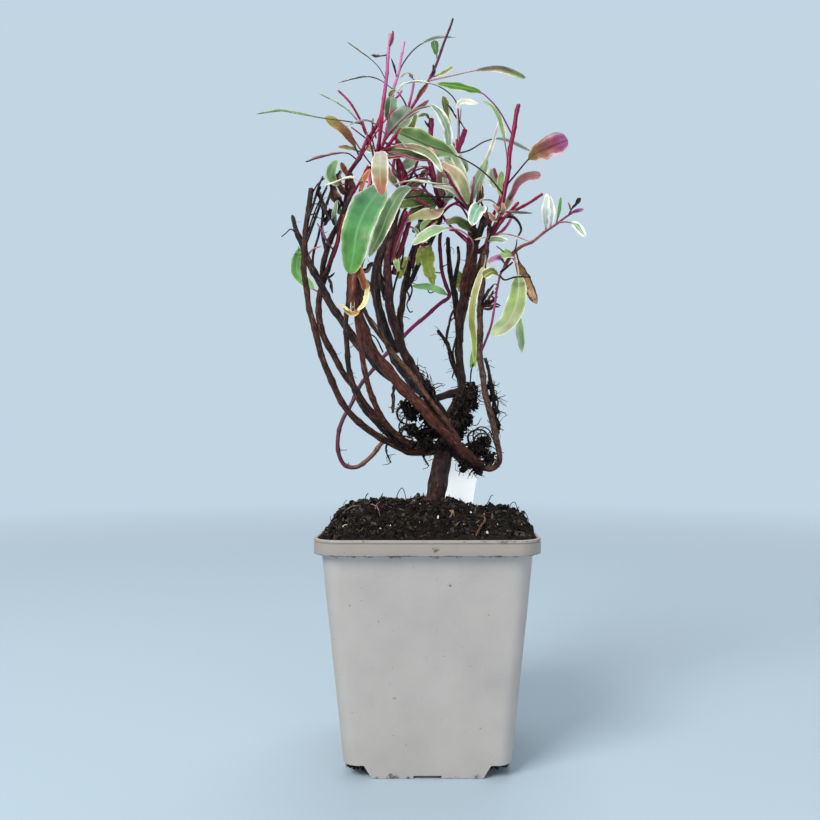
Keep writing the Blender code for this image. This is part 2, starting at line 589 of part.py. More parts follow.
def mesh_object(name, vertices, faces, collection):
    mesh = bpy.data.meshes.new(name)
    mesh.from_pydata([tuple(v) for v in vertices], [], faces)
    shape = bmesh.new()
    shape.from_mesh(mesh)
    bmesh.ops.recalc_face_normals(shape, faces=shape.faces)
    shape.to_mesh(mesh)
    shape.free()
    made = bpy.data.objects.new(name, mesh)
    collection.objects.link(made)
    return made


def settled(made, collection):
    """The object with its modifiers or curve settings made into plain mesh."""
    bpy.context.view_layer.update()
    graph = bpy.context.evaluated_depsgraph_get()
    mesh = bpy.data.meshes.new_from_object(made.evaluated_get(graph))
    mesh.transform(made.matrix_world)
    shape = bmesh.new()
    shape.from_mesh(mesh)
    bmesh.ops.remove_doubles(shape, verts=shape.verts, dist=0.001)
    shape.to_mesh(mesh)
    shape.free()
    name = made.name
    bpy.data.objects.remove(made)
    plain = bpy.data.objects.new(name, mesh)
    collection.objects.link(plain)
    return plain


def tube(name, line, foot_radius, tip_radius, sides, collection):
    curve = bpy.data.curves.new(name, "CURVE")
    curve.dimensions = "3D"
    curve.bevel_depth = 1
    curve.bevel_resolution = sides
    curve.use_fill_caps = True
    spline = curve.splines.new("POLY")
    spline.points.add(len(line) - 1)
    for i, position in enumerate(line):
        spline.points[i].co = (*position, 1)
        spline.points[i].radius = foot_radius + (tip_radius - foot_radius) * i / (len(line) - 1)
    made = bpy.data.objects.new(name, curve)
    collection.objects.link(made)
    return settled(made, collection)


def stem_line(name):
    """Points along a stem, closer together where it bends."""
    line = smooth_line([place(point) for point in STEMS[name][3]])
    kept, turned, gone = [line[0]], 0, 0
    for before, here, after in zip(line[:-2], line[1:-1], line[2:]):
        turned += Vector(here - before).angle(Vector(after - here))
        gone += np.linalg.norm(here - before)
        if turned > MOST_TURN or gone > MOST_SPACING:
            kept.append(here)
            turned, gone = 0, 0
    if np.linalg.norm(line[-1] - kept[-1]) < LEAST_SPACING and len(kept) > 2:
        kept.pop()
    return np.array(kept + [line[-1]])


def stem_piece(name, grow, collection):
    _, foot_radius, tip_radius, _ = STEMS[name]
    sides = sum(foot_radius > least for least in TUBE_SIDES_FROM)
    return tube(name, stem_line(name), foot_radius + grow, tip_radius + grow, sides, collection)


def seen_from_front(positions):
    unit = (EYE_DISTANCE + positions[:, 1]) / UNITS_AT_ONE
    across = CENTRE_ACROSS + positions[:, 0] / unit
    down = CENTRE_DOWN - (positions[:, 2] - EYE_HEIGHT) / unit
    return np.stack([across, down], axis=1)


def foot_on_stem(stem, seen):
    line = even_points(stem_line(stem), 200)
    return line[np.argmin(np.linalg.norm(seen_from_front(line) - np.array(seen), axis=1))]


def leaf_piece(name, grow, collection):
    """A lance-shaped blade on a stalk: six-cornered sections along its midrib, cupped a little."""
    _, stem, seen, route, width, turn, stalk = LEAVES[name]
    line = smooth_line([foot_on_stem(stem, seen)] + [place(point) for point in route])
    count = min(MOST_STATIONS, 2 * len(route) + 1)
    line = even_points(line, count)
    if grow:
        ends = np.array([line[0] - line[1], line[-1] - line[-2]])
        ends /= np.linalg.norm(ends, axis=1)[:, None]
        line[[0, -1]] += ends * grow
    along = np.gradient(line, axis=0)
    along /= np.linalg.norm(along, axis=1)[:, None]
    side = np.cross([0, 1, 0], along)
    side /= np.linalg.norm(side, axis=1)[:, None]
    lift = np.cross(along, side)
    turn = math.radians(turn)
    out = math.cos(turn) * side + math.sin(turn) * lift
    normal = np.cross(along, out)
    if normal.mean(axis=0) @ [0, -1, 0.4] < 0:
        normal = -normal
    blade = np.clip((np.linspace(0, 1, count) - stalk) / (1 - stalk), 0, 1)
    half = width / 2 * np.sin(math.pi * blade**0.85) ** 0.75
    least = np.where(blade > 0.5, TIP_WIDTH, STALK_WIDTH) / 2
    half = (np.maximum(half, least) + grow)[:, None]
    thick = LEAF_THICKNESS / 2 + grow
    rim_rise = LEAF_CUP * half
    sections = np.stack([
        line + out * half + normal * (rim_rise + thick),
        line + normal * (thick + LEAF_KEEL),
        line - out * half + normal * (rim_rise + thick),
        line - out * half + normal * (rim_rise - thick),
        line - normal * (thick + LEAF_KEEL),
        line + out * half + normal * (rim_rise - thick)], axis=1)
    vertices = sections.reshape(-1, 3)
    faces = []
    # The diagonals of the lower face follow those of the upper one, so that the blade stays equally thick
    for here in range(0, 6 * (count - 1), 6):
        there = here + 6
        for a in range(6):
            b = (a + 1) % 6
            if a in (3, 4):
                faces += [(here + a, here + b, there + a), (here + b, there + b, there + a)]
            else:
                faces += [(here + a, here + b, there + b), (here + a, there + b, there + a)]
    for end in (0, 6 * (count - 1)):
        faces += [(end, end + 1, end + 4, end + 5), (end + 1, end + 2, end + 3, end + 4)]
    return mesh_object(name, vertices, faces, collection)


def lump_piece(name, centre, radius, collection, chance):
    shape = bmesh.new()
    bmesh.ops.create_icosphere(shape, subdivisions=1, radius=radius)
    for vertex in shape.verts:
        vertex.co = vertex.co * chance.uniform(*LUMP_UNEVENNESS) + Vector(centre)
    mesh = bpy.data.meshes.new(name)
    shape.to_mesh(mesh)
    shape.free()
    made = bpy.data.objects.new(name, mesh)
    collection.objects.link(made)
    return made


def boolean(made, others, operation, collection, solver="EXACT"):
    """Joins or cuts with a group of helper objects, which are then removed."""
    if not others:
        return made
    group = bpy.data.collections.new("helpers")
    bpy.context.scene.collection.children.link(group)
    for other in others:
        for holder in other.users_collection:
            holder.objects.unlink(other)
        group.objects.link(other)
    modifier = made.modifiers.new(operation, "BOOLEAN")
    modifier.operation = operation
    modifier.operand_type = "COLLECTION"
    modifier.collection = group
    modifier.solver = solver
    result = settled(made, collection)
    for other in others:
        bpy.data.objects.remove(other)
    bpy.data.collections.remove(group)
    return result


def keep_largest(made):
    """Drops loose scraps and sealed hollows, so that one closed body is left."""
    shape = bmesh.new()
    shape.from_mesh(made.data)
    unseen = set(shape.faces)
    bodies = []
    while unseen:
        body, edge = [], [unseen.pop()]
        while edge:
            face = edge.pop()
            body.append(face)
            for loop in face.loops:
                for other in loop.edge.link_faces:
                    if other in unseen:
                        unseen.remove(other)
                        edge.append(other)
        bodies.append(body)
    bodies.sort(key=lambda body: sum(face.calc_area() for face in body))
    scraps = [face for body in bodies[:-1] for face in body]
    bmesh.ops.delete(shape, geom=scraps, context="FACES")
    shape.to_mesh(made.data)
    shape.free()


def plant_solid(node, grow, collection):
    """Every stem, leaf and lump of one node, fused. With grow it is the larger copy that clears others.

    EXACT is slow on so many pieces and leaves one shoot as two bodies that touch at a point.
    """
    chance = random.Random(node)
    pieces = [stem_piece(name, grow, collection) for name, row in STEMS.items() if row[0] == node]
    pieces += [leaf_piece(name, grow, collection) for name, row in LEAVES.items() if row[0] == node]
    if node == "trunk":
        for i, (across, down, back, radius) in enumerate(CROWN_LUMPS):
            centre = place((across, down, back))
            pieces.append(lump_piece(f"lump{i}", centre, radius + grow, collection, chance))
        for i, (radius, route) in enumerate(ROOT_ENDS):
            line = smooth_line([place(point) for point in route], 3)
            pieces.append(tube(f"root{i}", line, radius + grow, radius + grow, 0, collection))
    return boolean(pieces[0], pieces[1:], "UNION", collection, "MANIFOLD")


def box_of(made):
    corners = np.array([vertex.co for vertex in made.data.vertices])
    return corners.min(axis=0), corners.max(axis=0)


def boxes_meet(first, second):
    return bool((first[0] <= second[1]).all() and (second[0] <= first[1]).all())


def copy_of(made, collection):
    copy = made.copy()
    copy.data = made.data.copy()
    collection.objects.link(copy)
    return copy


def rounded_square(half, corner, height, side_steps=1):
    """Points round a square with round corners. The height is a number or a function of x and y."""
    straight = half - corner
    quarter = []
    for step in range(CORNER_STEPS + 1):
        angle = math.pi / 2 * step / CORNER_STEPS
        quarter.append((straight + corner * math.cos(angle), straight + corner * math.sin(angle)))
    for step in range(1, side_steps):
        quarter.append((straight - 2 * straight * step / side_steps, half))
    points = []
    for turn in (0, math.pi / 2, math.pi, 3 * math.pi / 2):
        cos, sin = math.cos(turn), math.sin(turn)
        points += [(x * cos - y * sin, x * sin + y * cos) for x, y in quarter]
    return [(x, y, height(x, y) if callable(height) else height) for x, y in points]


def loft(name, rings, collection):
    count = len(rings[0])
    vertices = [point for ring in rings for point in ring]
    faces = []
    for i in range(len(rings) - 1):
        for k in range(count):
            after = (k + 1) % count
            faces.append((i * count + k, i * count + after, (i + 1) * count + after, (i + 1) * count + k))
    faces.append(tuple(range(count)))
    faces.append(tuple(range((len(rings) - 1) * count, len(rings) * count)))
    return mesh_object(name, vertices, faces, collection)


def body_half(height):
    share = height / (POT_HEIGHT - RIM_HEIGHT)
    return (BODY_FOOT_WIDTH + (BODY_TOP_WIDTH - BODY_FOOT_WIDTH) * share) / 2


def corner_radius(half):
    """Round corners that are larger where the rim stands out."""
    return CORNER + CORNER_GROWTH * max(0, half - (BODY_TOP_WIDTH / 2 - 2))


def make_pot(collection):
    collar = POT_HEIGHT - RIM_HEIGHT
    rim = RIM_WIDTH / 2
    floor_top = FLOOR_HEIGHT + WALL
    # From under the floor, down and out round the foot, up the outside, over the rim and down inside
    profile = [
        (body_half(FLOOR_HEIGHT) - WALL, FLOOR_HEIGHT),
        (body_half(0) - WALL - FOOT_RECESS, 0),
        (body_half(0), 0),
        (body_half(collar), collar),
        (rim - EDGE, collar),
        (rim, collar + EDGE),
        (rim, POT_HEIGHT - EDGE),
        (rim - EDGE, POT_HEIGHT),
        (rim - WALL + EDGE, POT_HEIGHT),
        (rim - WALL, POT_HEIGHT - EDGE),
        (rim - WALL, collar + WALL),
        (body_half(collar) - WALL, collar + WALL),
        (body_half(floor_top) - WALL, floor_top)]
    rings = [rounded_square(half, corner_radius(half), height) for half, height in profile]
    made = loft("pot", rings, collection)
    cutters = []
    foot, above, far = FOOT_LENGTH / 2, FOOT_LENGTH_ABOVE / 2, RIM_WIDTH / 2
    for across in (-1, 1):
        for back in (-1, 1):
            rings = []
            for near, height in ((foot - (above - foot) / FOOT_HEIGHT, -1), (above, FOOT_HEIGHT)):
                corners = ((near, near), (far, near), (far, far), (near, far))
                rings.append([(across * x, back * y, height) for x, y in corners])
            cutters.append(loft("corner_cutter", rings, collection))
            bpy.ops.mesh.primitive_cylinder_add(
                radius=DRAIN_RADIUS, depth=4 * WALL, vertices=20,
                location=(across * DRAIN_FROM_CENTRE, back * DRAIN_FROM_CENTRE, FLOOR_HEIGHT))
            cutters.append(bpy.context.object)
    for size in ((NOTCH_WIDTH, RIM_WIDTH, 2 * NOTCH_HEIGHT), (RIM_WIDTH, NOTCH_WIDTH, 2 * NOTCH_HEIGHT)):
        bpy.ops.mesh.primitive_cube_add(size=1)
        cutter = bpy.context.object
        cutter.data.transform(Matrix.Diagonal((*size, 1)))
        cutters.append(cutter)
    return boolean(made, cutters, "DIFFERENCE", collection)


def soil_height(x, y):
    height = SOIL_EDGE_HEIGHT
    for centre_x, centre_y, rise, reach_x, reach_y in SOIL_HEAPS:
        height += rise * math.exp(-((x - centre_x) / reach_x) ** 2 - ((y - centre_y) / reach_y) ** 2)
    return height


def make_soil(collection, holes):
    chance = random.Random("soil")
    collar = POT_HEIGHT - RIM_HEIGHT
    inside = WALL + GAP
    foot = FLOOR_HEIGHT + WALL + GAP
    wide = RIM_WIDTH / 2 - inside
    steps = SOIL_SIDE_STEPS
    neck = body_half(collar) - inside
    profile = [
        (body_half(foot) - inside, foot),
        (neck, collar),
        (neck, collar + inside),
        (wide, collar + inside),
        (wide, POT_HEIGHT - 2 * EDGE)]
    rings = [rounded_square(half, corner_radius(half), height, steps) for half, height in profile]

    def rough_height(x, y):
        return soil_height(x, y) + chance.uniform(-SOIL_BUMPS, SOIL_BUMPS)

    for share in SOIL_RINGS:
        rings.append(rounded_square(wide * share, corner_radius(wide) * share, rough_height, steps))
    made = loft("soil", rings, collection)
    clods = []
    reach = wide * CLOD_REACH
    for i in range(CLOD_COUNT):
        x, y = chance.uniform(-reach, reach), chance.uniform(-reach, reach)
        radius = chance.uniform(*CLOD_RADII)
        centre = (x, y, soil_height(x, y) - CLOD_SUNK * radius)
        clods.append(lump_piece(f"clod{i}", centre, radius, collection, chance))
    made = boolean(made, clods, "UNION", collection)
    return boolean(made, holes, "DIFFERENCE", collection)


def make_label(collection, grow):
    """A flat tag with rounded top corners and a pointed stake, drawn in its own plane and then stood up."""
    half, top = LABEL_WIDTH / 2 + grow, LABEL_LENGTH + grow
    corner = LABEL_ROUNDING
    cut = corner * (1 - math.sqrt(0.5))
    right_side = [
        (half, LABEL_POINT - grow),
        (half, top - corner),
        (half - cut, top - cut),
        (half - corner, top)]
    outline = [(0, -grow)] + right_side + [(-x, y) for x, y in reversed(right_side)]
    curve = bpy.data.curves.new("plant_label", "CURVE")
    curve.dimensions = "2D"
    curve.fill_mode = "BOTH"
    curve.extrude = LABEL_THICKNESS / 2 + grow
    spline = curve.splines.new("POLY")
    spline.points.add(len(outline) - 1)
    spline.use_cyclic_u = True
    for i, (x, y) in enumerate(outline):
        spline.points[i].co = (x, y, 0, 1)
    made = bpy.data.objects.new("plant_label", curve)
    collection.objects.link(made)
    lean = Matrix.Rotation(math.radians(LABEL_LEAN), 4, "Y")
    made.matrix_world = Matrix.Translation(LABEL_FOOT) @ lean @ Matrix.Rotation(math.pi / 2, 4, "X")
    return settled(made, collection)


def make_material(name):
    colour, roughness = LOOKS[name]
    channels = [int(colour[i:i + 2], 16) / 255 for i in (0, 2, 4)]
    linear = [c / 12.92 if c <= 0.04045 else ((c + 0.055) / 1.055) ** 2.4 for c in channels]
    material = bpy.data.materials.new(name)
    material.use_nodes = True
    shader = material.node_tree.nodes["Principled BSDF"]
    shader.inputs["Base Color"].default_value = (*linear, 1)
    shader.inputs["Roughness"].default_value = roughness
    shader.inputs["Metallic"].default_value = 0
    return material


def finish_node(made, name, materials):
    made.name = name
    made.data.name = name
    made.data.transform(Matrix.Scale(MM, 4))
    made.data.materials.clear()
    made.data.materials.append(materials[NODE_LOOKS[name]])


def main():
    for old in list(bpy.data.objects):
        bpy.data.objects.remove(old)
    parts = bpy.data.collections.new("potted_gaura")
    bpy.context.scene.collection.children.link(parts)
    materials = {name: make_material(name) for name in LOOKS}
    made = {"pot": make_pot(parts), "plant_label": make_label(parts, 0)}
    clearances = {"plant_label": make_label(parts, GAP)}
    for node in PLANT_NODES:
        solid = plant_solid(node, 0, parts)
        box = box_of(solid)
        cutters = [copy_of(other, parts) for other in clearances.values() if boxes_meet(box, box_of(other))]
        solid = boolean(solid, cutters, "DIFFERENCE", parts, "MANIFOLD")
        keep_largest(solid)
        made[node] = solid
        clearances[node] = plant_solid(node, GAP, parts)
    holes = [copy_of(clearances[name], parts) for name in ("plant_label", "trunk")]
    made["soil"] = make_soil(parts, holes)
    for clearance in clearances.values():
        bpy.data.objects.remove(clearance)
    for name, solid in made.items():
        finish_node(solid, name, materials)


main()
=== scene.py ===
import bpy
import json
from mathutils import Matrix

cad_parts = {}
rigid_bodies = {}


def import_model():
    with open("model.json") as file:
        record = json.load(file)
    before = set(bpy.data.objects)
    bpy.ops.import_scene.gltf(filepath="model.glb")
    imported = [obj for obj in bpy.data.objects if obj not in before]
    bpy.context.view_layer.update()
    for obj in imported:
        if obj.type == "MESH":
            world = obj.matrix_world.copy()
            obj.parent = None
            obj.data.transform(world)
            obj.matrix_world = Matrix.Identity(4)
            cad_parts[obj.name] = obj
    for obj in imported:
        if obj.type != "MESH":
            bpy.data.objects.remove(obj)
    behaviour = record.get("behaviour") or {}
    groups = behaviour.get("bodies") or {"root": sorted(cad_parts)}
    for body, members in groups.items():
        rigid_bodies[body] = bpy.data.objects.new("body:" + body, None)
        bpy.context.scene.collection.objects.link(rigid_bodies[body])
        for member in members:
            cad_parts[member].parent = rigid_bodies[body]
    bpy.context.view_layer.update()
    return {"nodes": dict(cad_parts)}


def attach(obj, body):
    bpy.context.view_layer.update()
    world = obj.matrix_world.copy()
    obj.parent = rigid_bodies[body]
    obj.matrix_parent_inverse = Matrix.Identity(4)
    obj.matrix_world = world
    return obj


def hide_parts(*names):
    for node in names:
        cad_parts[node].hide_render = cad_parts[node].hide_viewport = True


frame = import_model()

import json
import math

import bpy
import numpy as np
from mathutils import Vector

millimetre = 0.001

# the photograph's view. In millimetres: how far the eye is from the pot's axis, and how high above the table.
# In steps of the picture: its width, the eye's distance from it, and the place that the eye looks at
view = {"distance": 324, "height": 125.3, "steps": 820, "focal": 800, "across": 427.5, "down": 437}


# Colours, nodes and meshes

def hexToLinear(code):
    # sRGB hex to the linear values that a shader takes
    channels = np.array([int(code[i:i + 2], 16) / 255 for i in (0, 2, 4)])
    return np.where(channels <= 0.04045, channels / 12.92, ((channels + 0.055) / 1.055) ** 2.4)


def newMaterial(name):
    material = bpy.data.materials.new(name)
    material.use_nodes = True
    material.node_tree.nodes.clear()
    return material


def addNode(material, kind, inputs=None, stops=None, **settings):
    # one node: an input is a number, a colour or another node's output, and stops are a ramp's colours
    tree = material.node_tree
    node = tree.nodes.new("ShaderNode" + kind)
    for setting, value in settings.items():
        setattr(node, setting, value)
    for key, value in (inputs or {}).items():
        if isinstance(value, bpy.types.NodeSocket):
            tree.links.new(value, node.inputs[key])
        elif isinstance(value, str):
            node.inputs[key].default_value = (*hexToLinear(value), 1)
        else:
            node.inputs[key].default_value = value
    if stops:
        elements = node.color_ramp.elements
        while len(elements) < len(stops):
            elements.new(0.5)
        for element, (position, colour) in zip(elements, stops):
            element.position = position
            shade = hexToLinear(colour) if isinstance(colour, str) else (colour,) * 3
            element.color = (*shade, 1)
    return node.outputs


def noise(material, place, scale, detail, roughness=0.5):
    return addNode(material, "TexNoise", {
        "Vector": place, "Scale": scale, "Detail": detail, "Roughness": roughness})[0]


def ranged(material, value, start, end, low=0.0, high=1.0):
    # low where the value is at its start, high where it is at its end, and even between
    return addNode(material, "MapRange", {0: value, 1: start, 2: end, 3: low, 4: high})[0]


def mixed(material, share, first, second, blend="MIX"):
    return addNode(material, "Mix", {0: share, 6: first, 7: second}, data_type="RGBA", blend_type=blend)[2]


def maths(material, operation, *values):
    return addNode(material, "Math", dict(enumerate(values)), operation=operation)[0]


def ramp(material, value, stops):
    return addNode(material, "ValToRGB", {0: value}, stops)[0]


def reading(material, name, kind="Color"):
    # what a piece hands to its material at each point
    return addNode(material, "Attribute", attribute_name=name)[kind]


def finishMaterial(material, colour, roughness, bump=None, bumpDepth=0.0, **shader):
    # the last two nodes: bumps of a real depth in millimetres, and the shader itself
    inputs = {"Base Color": colour, "Roughness": roughness}
    if bump is not None:
        inputs["Normal"] = addNode(material, "Bump", {
            "Height": bump, "Distance": bumpDepth * millimetre, "Strength": 1.0})[0]
    inputs.update({key.replace("_", " "): value for key, value in shader.items()})
    surface = addNode(material, "BsdfPrincipled", inputs)[0]
    addNode(material, "OutputMaterial", {"Surface": surface})
    return material


def asPiece(name, parts, material, replaces=(), sharpOver=50):
    # joins parts into one mesh. A part has points in millimetres, faces, and what the material reads from it
    start, quads, tris = 0, [], []
    for part in parts:
        quads.append(part["quads"] + start)
        tris.append(part["tris"] + start)
        start += len(part["points"])
    quads, tris = np.concatenate(quads), np.concatenate(tris)
    mesh = bpy.data.meshes.new(name)
    mesh.vertices.add(start)
    points = np.concatenate([part["points"] for part in parts]) * millimetre
    mesh.vertices.foreach_set("co", points.astype(np.float32).ravel())
    mesh.loops.add(quads.size + tris.size)
    mesh.loops.foreach_set("vertex_index", np.concatenate([quads.ravel(), tris.ravel()]).astype(np.int32))
    mesh.polygons.add(len(quads) + len(tris))
    starts = np.concatenate([np.arange(len(quads)) * 4, quads.size + np.arange(len(tris)) * 3])
    mesh.polygons.foreach_set("loop_start", starts.astype(np.int32))
    mesh.update(calc_edges=True)
    mesh.validate()
    for key in parts[0]["reads"]:
        values = np.concatenate([part["reads"][key] for part in parts]).astype(np.float32)
        attribute = mesh.attributes.new(key, "FLOAT_VECTOR", "POINT")
        attribute.data.foreach_set("vector", values.ravel())
    mesh.polygons.foreach_set("use_smooth", np.ones(len(mesh.polygons), bool))
    mesh.set_sharp_from_angle(angle=math.radians(sharpOver))
    mesh.materials.append(material)
    piece = bpy.data.objects.new(name, mesh)
    bpy.context.scene.collection.objects.link(piece)
    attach(piece, "root")
    if replaces:
        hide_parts(*replaces)
    return piece


def loft(sections, reads):
    # sections[i, j] is point j of ring i. Neighbouring rings are joined by four-sided faces, and
    # each end is closed by a fan round the middle of its ring
    rings, around, _ = sections.shape
    grid = np.arange(rings * around).reshape(rings, around)
    after = np.roll(grid, -1, axis=1)
    quads = np.stack([grid[:-1], after[:-1], after[1:], grid[1:]], axis=-1).reshape(-1, 4)
    foot = np.full(around, rings * around)
    tris = np.concatenate([
        np.stack([after[0], grid[0], foot], axis=1), np.stack([grid[-1], after[-1], foot + 1], axis=1)])
    points = np.concatenate([sections.reshape(-1, 3), [sections[0].mean(0), sections[-1].mean(0)]])
    # six times the volume inside, which is negative where the rings run the other way round
    volume = sum(np.einsum("ij,ij->", points[a], np.cross(points[b], points[c])) for a, b, c in (
        (quads[:, 0], quads[:, 1], quads[:, 2]), (quads[:, 0], quads[:, 2], quads[:, 3]),
        (tris[:, 0], tris[:, 1], tris[:, 2])))
    if volume < 0:
        quads, tris = quads[:, ::-1], tris[:, ::-1]
    spread = {}
    for key, values in reads.items():
        values = np.broadcast_to(values if values.ndim == 3 else values[:, None, :], sections.shape)
        spread[key] = np.concatenate([values.reshape(-1, 3), [values[0].mean(0), values[-1].mean(0)]])
    return {"points": points, "quads": quads, "tris": tris, "reads": spread}


def fieldNoise(points, size, seed=0):
    # smooth noise from -1 to 1: a number at each corner of a lattice of this size, blended between corners
    cell = np.asarray(points, float) / size
    base = np.floor(cell).astype(np.int64)
    part = cell - base
    part = part * part * (3 - 2 * part)
    total = 0.0
    for corner in range(8):
        step = np.array([corner & 1, corner >> 1 & 1, corner >> 2 & 1])
        hashed = ((base + step) * np.array([73856093, 19349663, 83492791])).sum(-1) + seed * 40503
        hashed = (hashed ^ (hashed >> 13)) & 0x7FFFFFFF
        hashed = (hashed * 1274126177) & 0x7FFFFFFF
        hashed = (hashed ^ (hashed >> 15)) * 69069 & 0x7FFFFFFF
        total = total + ((hashed >> 8 & 0xFFFF) / 32768 - 1) * np.prod(np.where(step, part, 1 - part), -1)
    return total


def smoothPath(points, spacing):
    # a Catmull-Rom curve through the points, then points at even steps along it
    points = np.asarray(points, float)
    padded = np.vstack([2 * points[0] - points[1], points, 2 * points[-1] - points[-2]])
    before, start, end, after = (padded[i:len(padded) - 3 + i, None] for i in range(4))
    t = (np.arange(12) / 12)[None, :, None]
    curve = (2 * start + (end - before) * t + (2 * before - 5 * start + 4 * end - after) * t**2
             + (3 * start - before - 3 * end + after) * t**3) / 2
    return evenSteps(np.vstack([curve.reshape(-1, 3), points[-1]]), spacing)


def evenSteps(line, spacing):
    # points along the line about this far apart
    along = np.concatenate([[0], np.cumsum(np.linalg.norm(np.diff(line, axis=0), axis=1))])
    wanted = np.linspace(0, along[-1], max(4, int(along[-1] / spacing) + 1))
    return np.stack([np.interp(wanted, along, line[:, axis]) for axis in range(3)], axis=1)


def placed(points):
    # places seen from the front, across and down in steps of the picture, and their depth behind the axis:
    # x = (across - the view's) * unit and z = height - (down - the view's) * unit, where
    # unit = (distance + depth) / focal
    points = np.asarray(points, float)
    unit = (view["distance"] + points[:, 2]) / view["focal"]
    return np.stack([(points[:, 0] - view["across"]) * unit, points[:, 2],
                     view["height"] - (points[:, 1] - view["down"]) * unit], axis=1)


def placeOf(text):
    return [float(number) for number in text.split()]


def tableOf(text, words, read):
    # a table in plain text with one row a line: its name, this many words, its numbers, and after a semicolon
    # the places of its route or its colours. A line that ends in a comma goes on in the next one
    rows = {}
    for line in text.replace(",\n", ",").strip().splitlines():
        values, parts = line.split(";")
        name, *values = values.split()
        rows[name] = (*values[:words], *map(float, values[words:]), [read(part) for part in parts.split(",")])
    return rows


def unitRows(rows):
    return rows / np.linalg.norm(rows, axis=-1, keepdims=True)


def directionsOf(path):
    # the direction of the path at each point, and two directions square to it
    along = unitRows(np.gradient(path, axis=0))
    spans = np.abs(along).mean(axis=0)
    upright = np.eye(3)[1 if spans[1] < 0.93 else int(np.argmin(spans))]
    side = unitRows(np.cross(upright, along))
    return along, side, np.cross(along, side)


def colourStops(codes, share):
    # colours spread evenly along a path, blended between them
    values = np.array([hexToLinear(code) for code in codes])
    marks = np.linspace(0, 1, len(codes))
    return np.stack([np.interp(share, marks, values[:, channel]) for channel in range(3)], axis=-1)


def roundStem(path, radius, sides, tint, unevenness=0.1, joints=0.0, seed=0, sway=0.12):
    # a round section carried along the path: path + radius * (1 + ridges + swollen joints) * (cos, sin).
    # The grain it hands to the material is its own section, with the distance along it shortened to an eighth
    _, side, lift = directionsOf(path)
    rings = len(path)
    angle = np.arange(sides) * 2 * math.pi / sides
    radius = np.broadcast_to(radius, rings).astype(float)
    gone = np.concatenate([[0], np.cumsum(np.linalg.norm(np.diff(path, axis=0), axis=1))])
    if joints:
        # joints 6 to 11 mm apart, each a low ring that stands out by this share of the radius
        chance = np.random.default_rng(seed + 5)
        places = np.cumsum(chance.uniform(6, 11, int(gone[-1] / 6) + 2))
        rise = np.exp(-((gone[:, None] - places) / np.maximum(radius[:, None], 0.5)) ** 2).sum(axis=1)
        radius = radius * (1 + joints * rise)
        bends = np.sin(np.interp(gone, places, np.arange(len(places)) * math.pi + seed)) * radius * sway
        path = path + side * bends[:, None]
    ring = side[:, None] * np.cos(angle)[None, :, None] + lift[:, None] * np.sin(angle)[None, :, None]
    grain = np.stack([radius[:, None] * np.cos(angle), radius[:, None] * np.sin(angle),
                      np.broadcast_to(gone[:, None] * 0.125, (rings, sides))], axis=-1) + seed * 7.3
    size = max(0.4, float(radius.max()))
    broad = fieldNoise(grain, size * 0.6, seed)
    ridges = 0.6 * broad + 0.4 * fieldNoise(grain * (1, 1, 2.5), size * 0.3, seed + 1)
    sections = path[:, None] + ring * (radius[:, None] * (1 + unevenness * ridges))[..., None]
    return loft(sections, {"tint": colourStops(tint, gone / gone[-1]), "grain": grain})


# Materials

# what a user would change in each material. The pot's marks are scuffs and splashed soil on its front:
# where each one is in metres, how far it reaches and how strong it is
skins = {
    "pot": {"tones": ("a09e9e", "a7a5a5", "adabab"), "speck": "8c8681", "rim": "8f8b88", "dirt": "40342b",
            "marks": [((0.0081, -0.037, 0.0722), 0.0022, 0.34), ((0.003, -0.0414, 0.085), 0.0034, 0.27),
                      ((-0.019, -0.0395, 0.0742), 0.0022, 0.25), ((0.0095, -0.0395, 0.0745), 0.0018, 0.24)]},
    "label": {"colour": "f2f6f8", "dirt": "6b5a4a", "paintedGlow": "e2eef8", "paintedGlowStrength": 0.62},
    "soil": {"tones": ("030303", "0f0e0e", "272524", "6a6663"), "fleck": "776c62"},
    "bark": {"fibre": "bc8068", "crack": "0c0605", "dirt": "120907"},
    "shoot": {"streak": "f080b0", "deep": "4a061c", "pore": "2c0f18"},
    "leaf": {"cloud": "c4c4c4", "spot": "4a3424"}}


